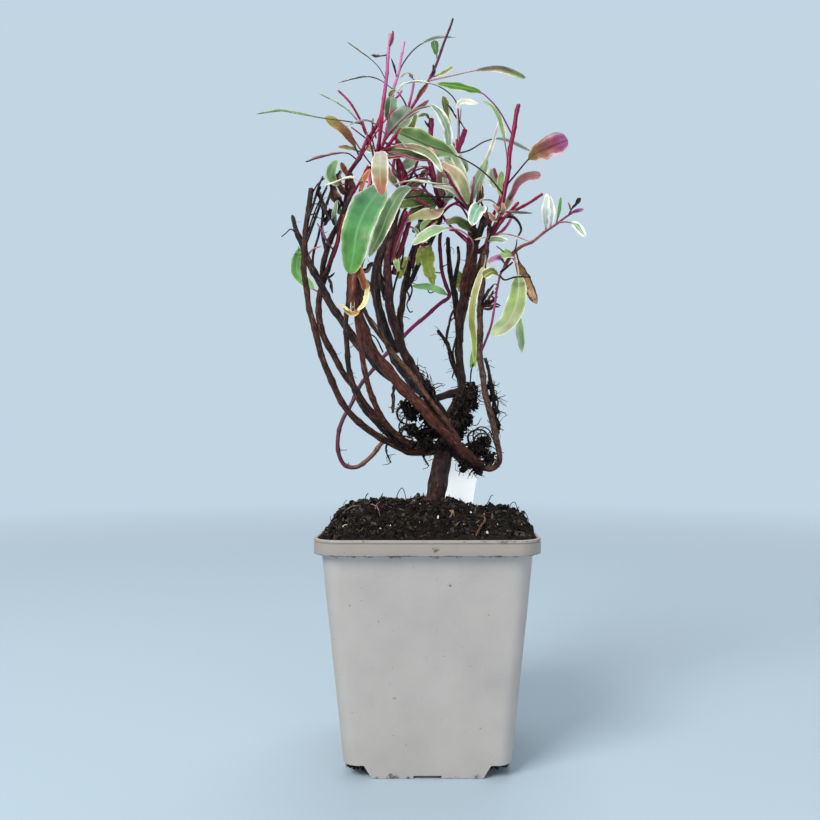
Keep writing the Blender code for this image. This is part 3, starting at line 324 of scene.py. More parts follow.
def potMaterial():
    # moulded polypropylene in neutral grey: an even satin skin, faint cloudy tone, fine specks and dust
    look = skins["pot"]
    material = newMaterial("moulded polypropylene")
    place = addNode(material, "TexCoord")["Object"]
    cloud = noise(material, place, 45, 4, 0.6)
    base = ramp(material, cloud, list(zip((0.3, 0.5, 0.72), look["tones"])))
    speck = noise(material, place, 700, 2)
    specks = ramp(material, speck, [(0.24, 0.0), (0.29, 1.0)])
    spotted = mixed(material, specks, look["speck"], base)
    # soil dust under the rim, at the foot and in the marks, where its noise and its nearness add up to enough
    height = addNode(material, "SeparateXYZ", {0: place})[2]
    collarFoot, top = pot["rimBottom"] * millimetre, pot["height"] * millimetre
    dirt = noise(material, place, 260, 6, 0.7)
    collar = ramp(material, ranged(material, height, 0.076, 0.090), [
        (0.0, 0.0), (0.38, 0.03), (0.47, 0.17), (0.51, 0.26), (0.54, 0.07), (0.8, 0.06), (0.855, 0.13),
        (0.885, 0.19), (0.91, 0.02)])
    near = maths(material, "MAXIMUM", collar, ranged(material, height, 0.004, 0.0, 0.0, 0.22))
    for spot, reach, strength in look["marks"]:
        away = addNode(material, "VectorMath", {0: place, 1: spot}, operation="DISTANCE")[1]
        near = maths(material, "MAXIMUM", near, ranged(material, away, reach, 0.0, 0.0, strength))
    mask = ranged(material, maths(material, "ADD", dirt, near), 0.7, 0.8, 0.0, 0.85)
    # the rim is coloured a little darker than the walls, all but its top edge
    overLip = ranged(material, height, collarFoot - 0.0004, collarFoot, 0.0, 0.85)
    underTop = ranged(material, height, top - 0.0003, top + 0.0001, 1.0, 0.0)
    onRim = maths(material, "MULTIPLY", overLip, underTop)
    darkerRim = mixed(material, onRim, spotted, look["rim"])
    colour = mixed(material, mask, darkerRim, look["dirt"])
    rough = ranged(material, cloud, 0.3, 0.7, 0.42, 0.55)
    grain = noise(material, place, 900, 3)
    return finishMaterial(material, colour, rough, grain, 0.05, IOR=1.49)


def labelMaterial():
    # moulded polystyrene tag: white and slightly glossy, with soil smears near the ground and a painted glow
    look = skins["label"]
    material = newMaterial("moulded polystyrene")
    place = addNode(material, "TexCoord")["Object"]
    height = addNode(material, "SeparateXYZ", {0: place})[2]
    dirt = noise(material, place, 220, 6, 0.7)
    near = ranged(material, height, 0.106, 0.096, 0.0, 0.16)
    amount = maths(material, "ADD", dirt, near)
    mask = ranged(material, amount, 0.72, 0.82, 0.0, 0.8)
    colour = mixed(material, mask, look["colour"], look["dirt"])
    # the emission is painted light: it makes the tag glow as if light shone through it
    return finishMaterial(material, colour, 0.35, dirt, 0.04, IOR=1.55,
                          Emission_Color=look["paintedGlow"], Emission_Strength=look["paintedGlowStrength"])


def soilMaterial():
    # fibrous peat compost: matt, nearly black where damp, with brown fibre and pale grit flecks
    look = skins["soil"]
    material = newMaterial("peat compost")
    place = addNode(material, "TexCoord")["Object"]
    clump = noise(material, place, 260, 8, 0.72)
    fine = noise(material, place, 1500, 3, 0.6)
    tint = reading(material, "tint")
    base = ramp(material, clump, list(zip((0.36, 0.5, 0.62, 0.78), look["tones"])))
    damp = mixed(material, 0.5, base, tint)
    fleck = ranged(material, fine, 0.68, 0.74, 0.0, 0.5)
    colour = mixed(material, fleck, damp, look["fleck"])
    rough = ranged(material, fine, 0.2, 0.8, 0.8, 1.0)
    return finishMaterial(material, colour, rough, clump, 0.7, Specular_IOR_Level=0.2)


def barkMaterial():
    # dry peeling bark: its own brown with lengthwise tan fibres, near-black cracks and soil left in them
    look = skins["bark"]
    material = newMaterial("weathered bark")
    place = addNode(material, "TexCoord")["Object"]
    tint = reading(material, "tint")
    grain = reading(material, "grain", "Vector")
    streak = noise(material, grain, 1.6, 5, 0.6)
    fibre = noise(material, grain, 4.2, 3, 0.6)
    patch = noise(material, place, 330, 4, 0.6)
    lightMask = ranged(material, streak, 0.54, 0.66)
    lighter = mixed(material, 0.36, tint, look["fibre"])
    lit = mixed(material, lightMask, tint, lighter)
    darkMask = ranged(material, fibre, 0.53, 0.42, 0.0, 0.92)
    cracked = mixed(material, darkMask, lit, look["crack"])
    dirtMask = ranged(material, patch, 0.52, 0.66, 0.0, 0.8)
    colour = mixed(material, dirtMask, cracked, look["dirt"])
    rough = ranged(material, patch, 0.4, 0.65, 0.33, 0.7)
    return finishMaterial(material, colour, rough, fibre, 0.5, Specular_IOR_Level=0.3)


def shootMaterial():
    # living shoot: a smooth waxy skin with lengthwise streaks of its own colour and small dark pores
    look = skins["shoot"]
    material = newMaterial("living shoot skin")
    place = addNode(material, "TexCoord")["Object"]
    tint = reading(material, "tint")
    grain = reading(material, "grain", "Vector")
    streak = noise(material, grain, 1.6, 4)
    pale = ranged(material, streak, 0.54, 0.72, 0.0, 0.1)
    lit = mixed(material, pale, tint, look["streak"])
    deep = ranged(material, streak, 0.48, 0.34, 0.0, 0.6)
    shaded = mixed(material, deep, lit, look["deep"])
    pore = noise(material, place, 800, 2)
    pores = ranged(material, pore, 0.66, 0.74, 0.0, 0.7)
    colour = mixed(material, pores, shaded, look["pore"])
    return finishMaterial(material, colour, 0.42, streak, 0.05, Specular_IOR_Level=0.28)


def leafMaterial():
    # variegated leaf: a soft satin skin, its margin cream with a ragged inner edge, a pale midrib
    # with side veins, a flush of another colour towards the tip, and small dry spots
    look = skins["leaf"]
    material = newMaterial("variegated leaf")
    place = addNode(material, "TexCoord")["Object"]
    centre, margin, rib, tip = (reading(material, name) for name in (
        "leafCentre", "leafMargin", "leafRib", "leafTip"))
    across, along = addNode(material, "SeparateXYZ", {0: reading(material, "leafPlace", "Vector")})[:2]
    shares = addNode(material, "SeparateXYZ", {0: reading(material, "leafMix", "Vector")})
    marginShare, tipStart, spotShare = shares[:3]
    off = maths(material, "ABSOLUTE", across)
    ragged = noise(material, place, 340, 2, 0.5)
    broad = noise(material, place, 150, 2)
    both = maths(material, "ADD", ragged, broad)
    wobble = maths(material, "SUBTRACT", both, 1.0)
    wander = maths(material, "MULTIPLY_ADD", marginShare, 1.5, 0.1)
    inward = maths(material, "MULTIPLY_ADD", wobble, wander, off)
    innerEdge = maths(material, "SUBTRACT", 1.0, marginShare)
    past = maths(material, "SUBTRACT", inward, innerEdge)
    marginMask = ranged(material, past, -0.03, 0.03)
    halfMask = ranged(material, past, -0.22, -0.1, 0.0, 0.22)
    # side veins run forward from the midrib, fourteen of them along the blade
    veinAlong = maths(material, "MULTIPLY_ADD", off, -0.13, along)
    veinWave = maths(material, "MULTIPLY", veinAlong, 88.0)
    veinSine = maths(material, "SINE", veinWave)
    vein = ranged(material, veinSine, 0.75, 1.0, 0.0, 0.015)
    zone = maths(material, "MAXIMUM", halfMask, vein)
    cloudy = ramp(material, broad, [(0.3, look["cloud"]), (0.7, "ffffff")])
    middle = mixed(material, 1.0, centre, cloudy, "MULTIPLY")
    green = mixed(material, zone, middle, margin)
    body = mixed(material, marginMask, green, margin)
    tipNoise = maths(material, "MULTIPLY_ADD", wobble, 0.5, along)
    tipPast = maths(material, "SUBTRACT", tipNoise, tipStart)
    tipMask = ranged(material, tipPast, -0.1, 0.22, 0.0, 0.9)
    flushed = mixed(material, tipMask, body, tip)
    ribMask = ranged(material, off, 0.11, 0.05, 0.0, 0.8)
    ribbed = mixed(material, ribMask, flushed, rib)
    spot = noise(material, place, 520, 3, 0.55)
    spotPast = maths(material, "ADD", spot, spotShare)
    spotMask = ranged(material, spotPast, 0.74, 0.82, 0.0, 0.8)
    colour = mixed(material, spotMask, ribbed, look["spot"])
    ribRise = maths(material, "MULTIPLY", ribMask, 0.5)
    relief = maths(material, "ADD", ragged, ribRise)
    rough = ranged(material, ragged, 0.3, 0.7, 0.42, 0.55)
    return finishMaterial(material, colour, rough, relief, 0.03, IOR=1.42)


# Pot

pot = {
    "rimWidth": 82.8, "height": 88.7, "rimBottom": 83.0, "footWidth": 61.9, "topWidth": 77.1, "wall": 1.2,
    "floor": 5.3, "cutFoot": 20.3, "cutTop": 23.3, "cutHeight": 5.0, "notchWidth": 10.3, "notchHeight": 1.2,
    "drainRadius": 5.5, "drainFromCentre": 19.0, "cornerRadius": 6.0, "cornerGrowth": 0.9, "unevenness": 0.12}


def bodyHalf(height):
    # half the body's width at this height: it widens evenly from the foot to under the collar
    return (pot["footWidth"] + (pot["topWidth"] - pot["footWidth"]) * height / pot["rimBottom"]) / 2


def squareRing(half, corner, height):
    # a square with round corners: its corner is straight + corner * (cos, sin), its sides are straight lines
    cornerSteps, sideSteps = 12, 14
    straight = half - corner
    turn = np.linspace(0, math.pi / 2, cornerSteps + 1)
    bend = np.stack([straight + corner * np.cos(turn), straight + corner * np.sin(turn)], axis=1)
    run = np.linspace(0, 1, sideSteps + 1)[1:-1]
    side = np.stack([straight - 2 * straight * run, np.full(len(run), half)], axis=1)
    quarter = np.concatenate([bend, side])
    turns = [np.array([[c, s], [-s, c]]) for c, s in ((1, 0), (0, 1), (-1, 0), (0, -1))]
    flat = np.concatenate([quarter @ turned for turned in turns])
    return np.column_stack([flat, np.full(len(flat), height)])


def cornerRadius(half):
    # the corners are rounder where the rim stands out over the body
    return pot["cornerRadius"] + pot["cornerGrowth"] * max(0, half - (pot["topWidth"] / 2 - 2))


def makePot(material):
    # the wall's profile carried round the rounded square, from under the floor, out and up, over the rim
    # and down inside; its corners are cut away at the foot, and its floor has four round holes
    wall, rim, top = pot["wall"], pot["rimWidth"] / 2, pot["height"]
    collar, floor = pot["rimBottom"], pot["floor"]
    outside = [(bodyHalf(height), height) for height in np.linspace(0.3, collar - 0.8, 16)]
    inside = [(bodyHalf(height) - wall, height) for height in np.linspace(collar, floor + wall, 8)]
    profile = [
        (0.01, floor), (bodyHalf(floor) - 8, floor), (bodyHalf(floor) - wall, floor),
        (bodyHalf(0) - wall - 0.4, 0), (bodyHalf(0) - 0.25, 0)] + outside + [
        (bodyHalf(collar) + 0.08, collar - 0.3), (bodyHalf(collar) + 0.4, collar),
        (rim - 0.35, collar), (rim - 0.08, collar + 0.12), (rim, collar + 0.4), (rim + 0.02, collar + 2.4),
        (rim, top - 1.5), (rim - 0.28, top - 1.32), (rim - 0.28, top - 1.12), (rim + 0.06, top - 0.92),
        (rim + 0.08, top - 0.45), (rim - 0.1, top - 0.15), (rim - 0.4, top),
        (rim - wall + 0.3, top), (rim - wall + 0.05, top - 0.12), (rim - wall, top - 0.4),
        (rim - wall, collar + wall), (bodyHalf(collar) - wall, collar + wall)] + inside + [
        (bodyHalf(floor + wall) - wall - 7, floor + wall), (0.01, floor + wall)]
    sections = np.stack([
        squareRing(half, min(cornerRadius(half), half * 0.9), height) for half, height in profile])
    # walls of thin moulding are never quite flat
    bow = fieldNoise(sections, 26, 3) * pot["unevenness"] * (sections[..., 2:] > 1)[..., 0]
    outward = np.stack([sections[..., 0], sections[..., 1], np.zeros(sections.shape[:2])], axis=-1)
    reach = np.maximum(np.linalg.norm(outward, axis=-1, keepdims=True), 1)
    sections = sections + outward / reach * bow[..., None]
    part = loft(sections, {"tint": np.zeros((len(profile), 3))})
    cutAway(asPiece("grey_pot", [part], material, ("pot",), sharpOver=35), potCutters())


def potCutters():
    # tapered blocks for the cut-away corners of the foot, round bars for the drain holes, and a bar each way
    # for the notches in the middle of the sides
    near, far, high, floor = pot["cutFoot"], pot["rimWidth"] / 2, pot["cutHeight"], pot["floor"]
    slope = (pot["cutTop"] - near) / high
    turn = np.arange(32) * math.pi / 16
    cutters = []
    for x in (-1, 1):
        for y in (-1, 1):
            corner = [np.array([(x * a, y * b, h) for a, b in ((n, n), (far, n), (far, far), (n, far))])
                      for n, h in ((near - slope, -1), (pot["cutTop"], high))]
            cutters.append(loft(np.stack(corner), {}))
            hole = np.stack([np.cos(turn) * pot["drainRadius"] + x * pot["drainFromCentre"],
                             np.sin(turn) * pot["drainRadius"] + y * pot["drainFromCentre"]], axis=1)
            ends = [np.column_stack([hole, np.full(len(turn), h)]) for h in (floor - 2, floor + 3)]
            cutters.append(loft(np.stack(ends), {}))
    half = pot["notchWidth"] / 2
    for wide, deep in ((half, far), (far, half)):
        notch = [np.array([(-wide, -deep, h), (wide, -deep, h), (wide, deep, h), (-wide, deep, h)])
                 for h in (-1, pot["notchHeight"])]
        cutters.append(loft(np.stack(notch), {}))
    return cutters


def cutAway(piece, cutters):
    # takes the cutters out of the piece's mesh for good, and leaves nothing else behind
    group = bpy.data.collections.new("cutters")
    for i, cutter in enumerate(cutters):
        mesh = bpy.data.meshes.new(f"cutter{i}")
        faces = [tuple(face) for face in cutter["quads"]] + [tuple(face) for face in cutter["tris"]]
        mesh.from_pydata(cutter["points"] * millimetre, [], faces)
        group.objects.link(bpy.data.objects.new(f"cutter{i}", mesh))
    modifier = piece.modifiers.new("feet", "BOOLEAN")
    modifier.operation, modifier.operand_type, modifier.solver = "DIFFERENCE", "COLLECTION", "EXACT"
    modifier.collection = group
    bpy.context.scene.collection.children.link(group)
    bpy.context.view_layer.update()
    cut = bpy.data.meshes.new_from_object(piece.evaluated_get(bpy.context.evaluated_depsgraph_get()))
    piece.modifiers.clear()
    piece.data = cut
    for cutter in list(group.objects):
        bpy.data.objects.remove(cutter)
    bpy.data.collections.remove(group)


# Soil

# a heap is its centre, its rise and its reach each way, a ring of the skirt is its share of the mouth's width
# and its height, and the perlite lies at places seen from the front
soil = {
    "edge": 89.2,
    "heaps": [(2, 2, 11, 23, 21), (-26, 18, 7, 15, 18), (32, -8, 5.5, 9, 20), (10, -20, 3, 20, 12)],
    "halfWidth": 39.7, "corner": 8.8, "gridSteps": 190, "lumps": ((4.6, 1.3), (2.1, 1.1), (1.0, 0.65)),
    "skirt": [(1.0, 87.5), (1.0, 84.8), (0.93, 84.6), (0.93, 83.0), (0.84, 45.0), (0.75, 6.9)],
    "tint": ["050505", "100f0e", "252120"],
    "fibres": 300, "fibreLength": (2.5, 10), "fibreRadius": (0.1, 0.26),
    "potCorner": (26.2, 26.8, 5.1), "atCorner": 110, "cornerRadius": (0.3, 0.95), "perliteRadius": (0.4, 0.9),
    "perlite": [(345, 527), (391, 527), (414, 502), (438, 519), (471, 514), (487, 535), (420, 524)]}
# loose lumps on the soil: their number, how much of the half width they reach, how far their middles stand
# above it, their radius as low + (high - low) * chance^power, and what makes one kind unlike another
looseLumps = {
    "crumbs": {"count": 5400, "reach": 0.97, "lift": 0.15, "radius": (0.25, 1.05, 2.5), "shape": {
        "seed": 8, "tint": ["030303", "0c0b0b", "1c1a19", "66605a"], "flatness": (0.3, 1.6)}},
    "clods": {"count": 150, "reach": 0.93, "lift": 0, "radius": (0.6, 1.9, 1), "shape": {
        "seed": 9, "tint": ["030303", "0c0b0b", "1a1817"], "splits": 2, "unevenness": 0.5,
        "flatness": (0.4, 1.1)}},
    "splinters": {"count": 420, "reach": 0.95, "lift": 0.4, "radius": (0.7, 2.4, 1), "shape": {
        "seed": 12, "tint": ["060505", "12100f", "2c2825", "94887a"], "unevenness": 0.2,
        "flatness": (0.12, 0.2), "long": 1.0}},
    "grit": {"count": 18, "reach": 0.92, "lift": 0.35, "radius": (0.18, 0.42, 1), "shape": {
        "seed": 10, "tint": ["9c968c", "e4e0d8"], "splits": 1, "unevenness": 0.2}}}
fibreTints = (["1c130d", "3a281b"], ["3a2a1e", "5f4630"], ["75583c", "4a3424"], ["a08a6c", "7a6248"])


def soilHeight(x, y):
    # level soil, lumps of three sizes, and heaps that add rise * exp(-(dx / reachX)^2 - (dy / reachY)^2)
    height = np.full(np.shape(x), soil["edge"])
    for centreX, centreY, rise, reachX, reachY in soil["heaps"]:
        height = height + rise * np.exp(-((x - centreX) / reachX) ** 2 - ((y - centreY) / reachY) ** 2)
    flat = np.stack([x, y, height * 0.3], axis=-1)
    for i, (size, rise) in enumerate(soil["lumps"]):
        height = height + rise * fieldNoise(flat, size, 20 + i)
    edge = np.maximum(np.abs(x), np.abs(y)) / soil["halfWidth"]
    return height - 0.9 * np.clip((edge - 0.93) / 0.07, 0, 1) ** 2


def intoRoundedSquare(x, y):
    # the corner squares of a square pressed into quarter discs
    straight, corner = soil["halfWidth"] - soil["corner"], soil["corner"]
    dx = np.clip(np.abs(x) - straight, 0, None) / corner
    dy = np.clip(np.abs(y) - straight, 0, None) / corner
    roundX = np.where(dx > 0, straight + corner * dx * np.sqrt(1 - dy**2 / 2), np.abs(x))
    roundY = np.where(dy > 0, straight + corner * dy * np.sqrt(1 - dx**2 / 2), np.abs(y))
    return np.sign(x) * roundX, np.sign(y) * roundY


def makeSoil(material):
    # a height over a grid of the pot's mouth, with a skirt that follows the pot's inside to its floor
    steps = soil["gridSteps"]
    run = np.linspace(-soil["halfWidth"], soil["halfWidth"], steps + 1)
    x, y = intoRoundedSquare(*np.meshgrid(run, run, indexing="ij"))
    top = np.stack([x, y, soilHeight(x, y)], axis=-1)
    grid = np.arange((steps + 1) ** 2).reshape(steps + 1, steps + 1)
    quads = [np.stack([grid[:-1, :-1], grid[1:, :-1], grid[1:, 1:], grid[:-1, 1:]], axis=-1).reshape(-1, 4)]
    loop = np.concatenate([grid[:-1, 0], grid[-1, :-1], grid[:0:-1, -1], grid[0, :0:-1]])
    rim = top.reshape(-1, 3)[loop]
    points = [top.reshape(-1, 3)]
    before = loop
    for i, (share, height) in enumerate(soil["skirt"]):
        ring = np.column_stack([rim[:, :2] * share, np.full(len(rim), height)])
        points.append(ring)
        here = len(grid.ravel()) + i * len(rim) + np.arange(len(rim))
        quads.append(np.stack([before, here, np.roll(here, -1), np.roll(before, -1)], axis=1))
        before = here
    points.append(np.array([[0, 0, height]]))
    foot = np.full(len(rim), len(grid.ravel()) + len(soil["skirt"]) * len(rim))
    tris = np.stack([before, foot, np.roll(before, -1)], axis=1)
    points = np.concatenate(points)
    tone = colourStops(soil["tint"], 0.5 + 0.5 * fieldNoise(points, 3.1, 31))
    bed = {"points": points, "quads": np.concatenate(quads), "tris": tris, "reads": {"tint": tone}}
    asPiece("compost_bed", [bed], material, ("soil",), sharpOver=180)


def roundLump(splits):
    # an icosahedron whose faces are split and pushed out to the sphere
    golden = (1 + math.sqrt(5)) / 2
    points = [
        (-1, golden, 0), (1, golden, 0), (-1, -golden, 0), (1, -golden, 0),
        (0, -1, golden), (0, 1, golden), (0, -1, -golden), (0, 1, -golden),
        (golden, 0, -1), (golden, 0, 1), (-golden, 0, -1), (-golden, 0, 1)]
    faces = [
        (0, 11, 5), (0, 5, 1), (0, 1, 7), (0, 7, 10), (0, 10, 11), (1, 5, 9), (5, 11, 4), (11, 10, 2),
        (10, 7, 6), (7, 1, 8), (3, 9, 4), (3, 4, 2), (3, 2, 6), (3, 6, 8), (3, 8, 9), (4, 9, 5), (2, 4, 11),
        (6, 2, 10), (8, 6, 7), (9, 8, 1)]
    points = unitRows(np.array(points, float))
    faces = np.array(faces)
    for _ in range(splits):
        ends = np.sort(np.concatenate([faces[:, [0, 1]], faces[:, [1, 2]], faces[:, [2, 0]]]), axis=1)
        edges, index = np.unique(ends, axis=0, return_inverse=True)
        middle = index.reshape(3, -1) + len(points)
        points = np.concatenate([points, unitRows(points[edges].mean(axis=1))])
        a, b, c = faces.T
        ab, bc, ca = middle
        split = ((a, ab, ca), (b, bc, ab), (c, ca, bc), (ab, bc, ca))
        faces = np.concatenate([np.stack(three, axis=1) for three in split])
    return points, faces


def lumps(centres, radii, seed, tint, splits=0, unevenness=0.35, flatness=(0.6, 1.1), long=None):
    # copies of one round lump, each turned its own way: centre + radius * stretch * (1 + uneven) * direction
    chance = np.random.default_rng(seed)
    shape, faces = roundLump(splits)
    count = len(centres)
    stretch = chance.uniform(flatness[0], flatness[1], (count, 1, 3))
    if long:
        stretch[..., 2] = long
    axis = unitRows(chance.normal(size=(count, 3)))
    uneven = shape[None] * stretch * (1 + unevenness * chance.uniform(-1, 1, (count, len(shape), 1)))
    turned = uneven - 2 * np.einsum("nij,nj->ni", uneven, axis)[..., None] * axis[:, None]
    points = np.asarray(centres)[:, None] + np.asarray(radii)[:, None, None] * turned
    tris = (faces[None, :, ::-1] + (np.arange(count) * len(shape))[:, None, None]).reshape(-1, 3)
    tone = colourStops(tint, chance.uniform(0, 1, count))
    reads = {"tint": np.repeat(tone, len(shape), axis=0)}
    return {"points": points.reshape(-1, 3), "quads": np.zeros((0, 4), int), "tris": tris, "reads": reads}


def scatteredOnSoil(chance, count, reach):
    # this many chance places on the soil, out to this share of its half width
    x, y = intoRoundedSquare(*(chance.uniform(-1, 1, (2, count)) * soil["halfWidth"] * reach))
    return np.stack([x, y, soilHeight(x, y)], axis=1)


def scatteredLumps(chance, kind):
    made = looseLumps[kind]
    spots = scatteredOnSoil(chance, made["count"], made["reach"])
    low, high, power = made["radius"]
    radii = low + (high - low) * chance.uniform(0, 1, len(spots)) ** power
    return lumps(spots + [0, 0, made["lift"]], radii, **made["shape"])


def lyingFibre(chance, start, length, radius, tint):
    # a thin root or stalk that lies on the soil: its direction wanders, and its height is the soil's
    steps = max(6, int(length / 0.9))
    turn = chance.uniform(0, 2 * math.pi) + np.cumsum(chance.normal(0, 0.32, steps))
    path = start[:2] + np.cumsum(np.stack([np.cos(turn), np.sin(turn)], axis=1) * length / steps, axis=0)
    limit = soil["halfWidth"] - 1.2
    path = np.clip(path, -limit, limit)
    height = soilHeight(path[:, 0], path[:, 1])
    height = np.convolve(np.pad(height, 2, "edge"), np.ones(5) / 5, "valid")
    arch = np.sin(np.linspace(0, math.pi, steps)) * chance.uniform(0, 0.35) * length * 0.3
    path = np.column_stack([path, height + radius + arch])
    return roundStem(path, radius * np.linspace(1, 0.55, steps), 4, tint, unevenness=0.12)


# single strands on the soil: radius, colours, and places seen from the front with a lift above the soil
strands = [
    (0.5, ["a07850", "7a5a38", "8a6440"],
     [(484, 516, 0.6), (485, 523, 1.0), (481, 530, 1.2), (476, 537, 0.5)]),
    (0.35, ["c8b090", "a88a66"], [(449, 511, 0.4), (452, 515, 0.9), (450, 519, 0.5)]),
    (0.3, ["c0a888", "8a7056"], [(453, 512, 0.5), (454, 518, 0.6)]),
    (0.28, ["b89a90", "8a6a60"], [(370, 505, 0.3), (377, 510, 1.2), (380, 517, 0.4)]),
    (0.22, ["c0a8a0", "9a7a70"], [(381, 503, 0.6), (377, 509, 1.6), (374, 516, 0.3)]),
    (0.4, ["8a8268", "6a6048"], [(343, 514, 0.3), (352, 509, 0.9), (361, 507, 0.4)]),
    (0.2, ["2a1c14", "3a2a20"],
     [(396, 500, 0.0), (398, 499, 3.0), (402, 499, 4.6), (405, 500, 2.4), (406, 502, 0.0)]),
    (0.22, ["1c1410", "2a1e18"], [(484, 506, 0.0), (488, 505, 2.2), (491, 504, 4.2), (493, 504, 5.0)]),
    (0.18, ["1c1410", "2a1e18"], [(508, 512, 0.0), (511, 511, 2.6), (515, 511, 3.2), (518, 513, 0.4)]),
    (0.2, ["1c1410", "2a1e18"], [(521, 515, 0.0), (524, 514, 2.6), (528, 515, 2.4), (528, 518, 0.0)]),
    (0.3, ["1c1410", "33261e"], [(364, 503, 0.0), (366, 500, 1.6), (368, 499, 3.4)]),
    (0.16, ["2a2018", "3a2c22"], [(333, 520, 0.0), (331, 517, 2.2), (330, 513, 4.0)]),
    (0.16, ["2a2018", "3a2c22"], [(343, 514, 0.0), (344, 510, 2.6), (347, 507, 3.0)])]


def onSoil(across, down, lift):
    # follows the line of sight through this place until it meets the soil, then rises by the lift
    depth = np.linspace(-39, 38, 400)
    line = placed(np.column_stack([np.full(len(depth), across), np.full(len(depth), down), depth]))
    inside = np.maximum(np.abs(line[:, 0]), np.abs(line[:, 1])) < soil["halfWidth"] - 1.5
    over = np.where(inside, line[:, 2] - soilHeight(line[:, 0], line[:, 1]), np.inf)
    x, y = line[int(np.argmax(over <= 0)) if (over <= 0).any() else int(np.argmin(over)), :2]
    return np.array([x, y, soilHeight(x, y) + lift])


def makeSoilDressing(material, bark):
    # crumbs, clods, splinters and fibres on the soil. The white bits go back to the caller, because they have
    # a material of their own
    chance = np.random.default_rng(7)
    crumbs = [scatteredLumps(chance, kind) for kind in ("crumbs", "clods", "splinters")]
    asPiece("compost_crumbs", crumbs, material)
    fibres = []
    for spot in scatteredOnSoil(chance, soil["fibres"], 0.93):
        tone = fibreTints[int(chance.choice(4, p=(0.45, 0.3, 0.17, 0.08)))]
        length, radius = chance.uniform(*soil["fibreLength"]), chance.uniform(*soil["fibreRadius"])
        fibres.append(lyingFibre(chance, spot, length, radius, tone))
    for radius, tone, route in strands:
        path = smoothPath(np.array([onSoil(*spot) for spot in route]), 0.5)
        fibres.append(roundStem(path, radius * np.linspace(1, 0.7, len(path)), 6, tone, 0.15))
    asPiece("compost_fibres", fibres, bark)
    grit = scatteredLumps(chance, "grit")
    seen = np.array([onSoil(across, down, 0.5) for across, down in soil["perlite"]])
    seen = lumps(seen, chance.uniform(*soil["perliteRadius"], len(seen)), 12, ["cfcbc4", "f4f2ee"],
                 splits=1, flatness=(0.25, 1.3))
    # damp soil that clings under the pot's cut corners
    x, y, under = soil["potCorner"]
    corners = np.repeat([(a, b) for a in (-x, x) for b in (-y, y)], soil["atCorner"], axis=0)
    near = chance.uniform(-1, 1, corners.shape) * (3.2, 2.8)
    clinging = np.column_stack([corners + near, under - np.abs(chance.normal(0, 0.8, len(corners)))])
    radii = chance.uniform(*soil["cornerRadius"], len(corners))
    clinging = lumps(clinging, radii, 13, ["030202", "16110d"], splits=1)
    asPiece("corner_crumbs", [clinging], material)
    return [grit, seen]


# Stems

# name, node, tone, radius at the foot and at the tip, and after the semicolon the places of the route

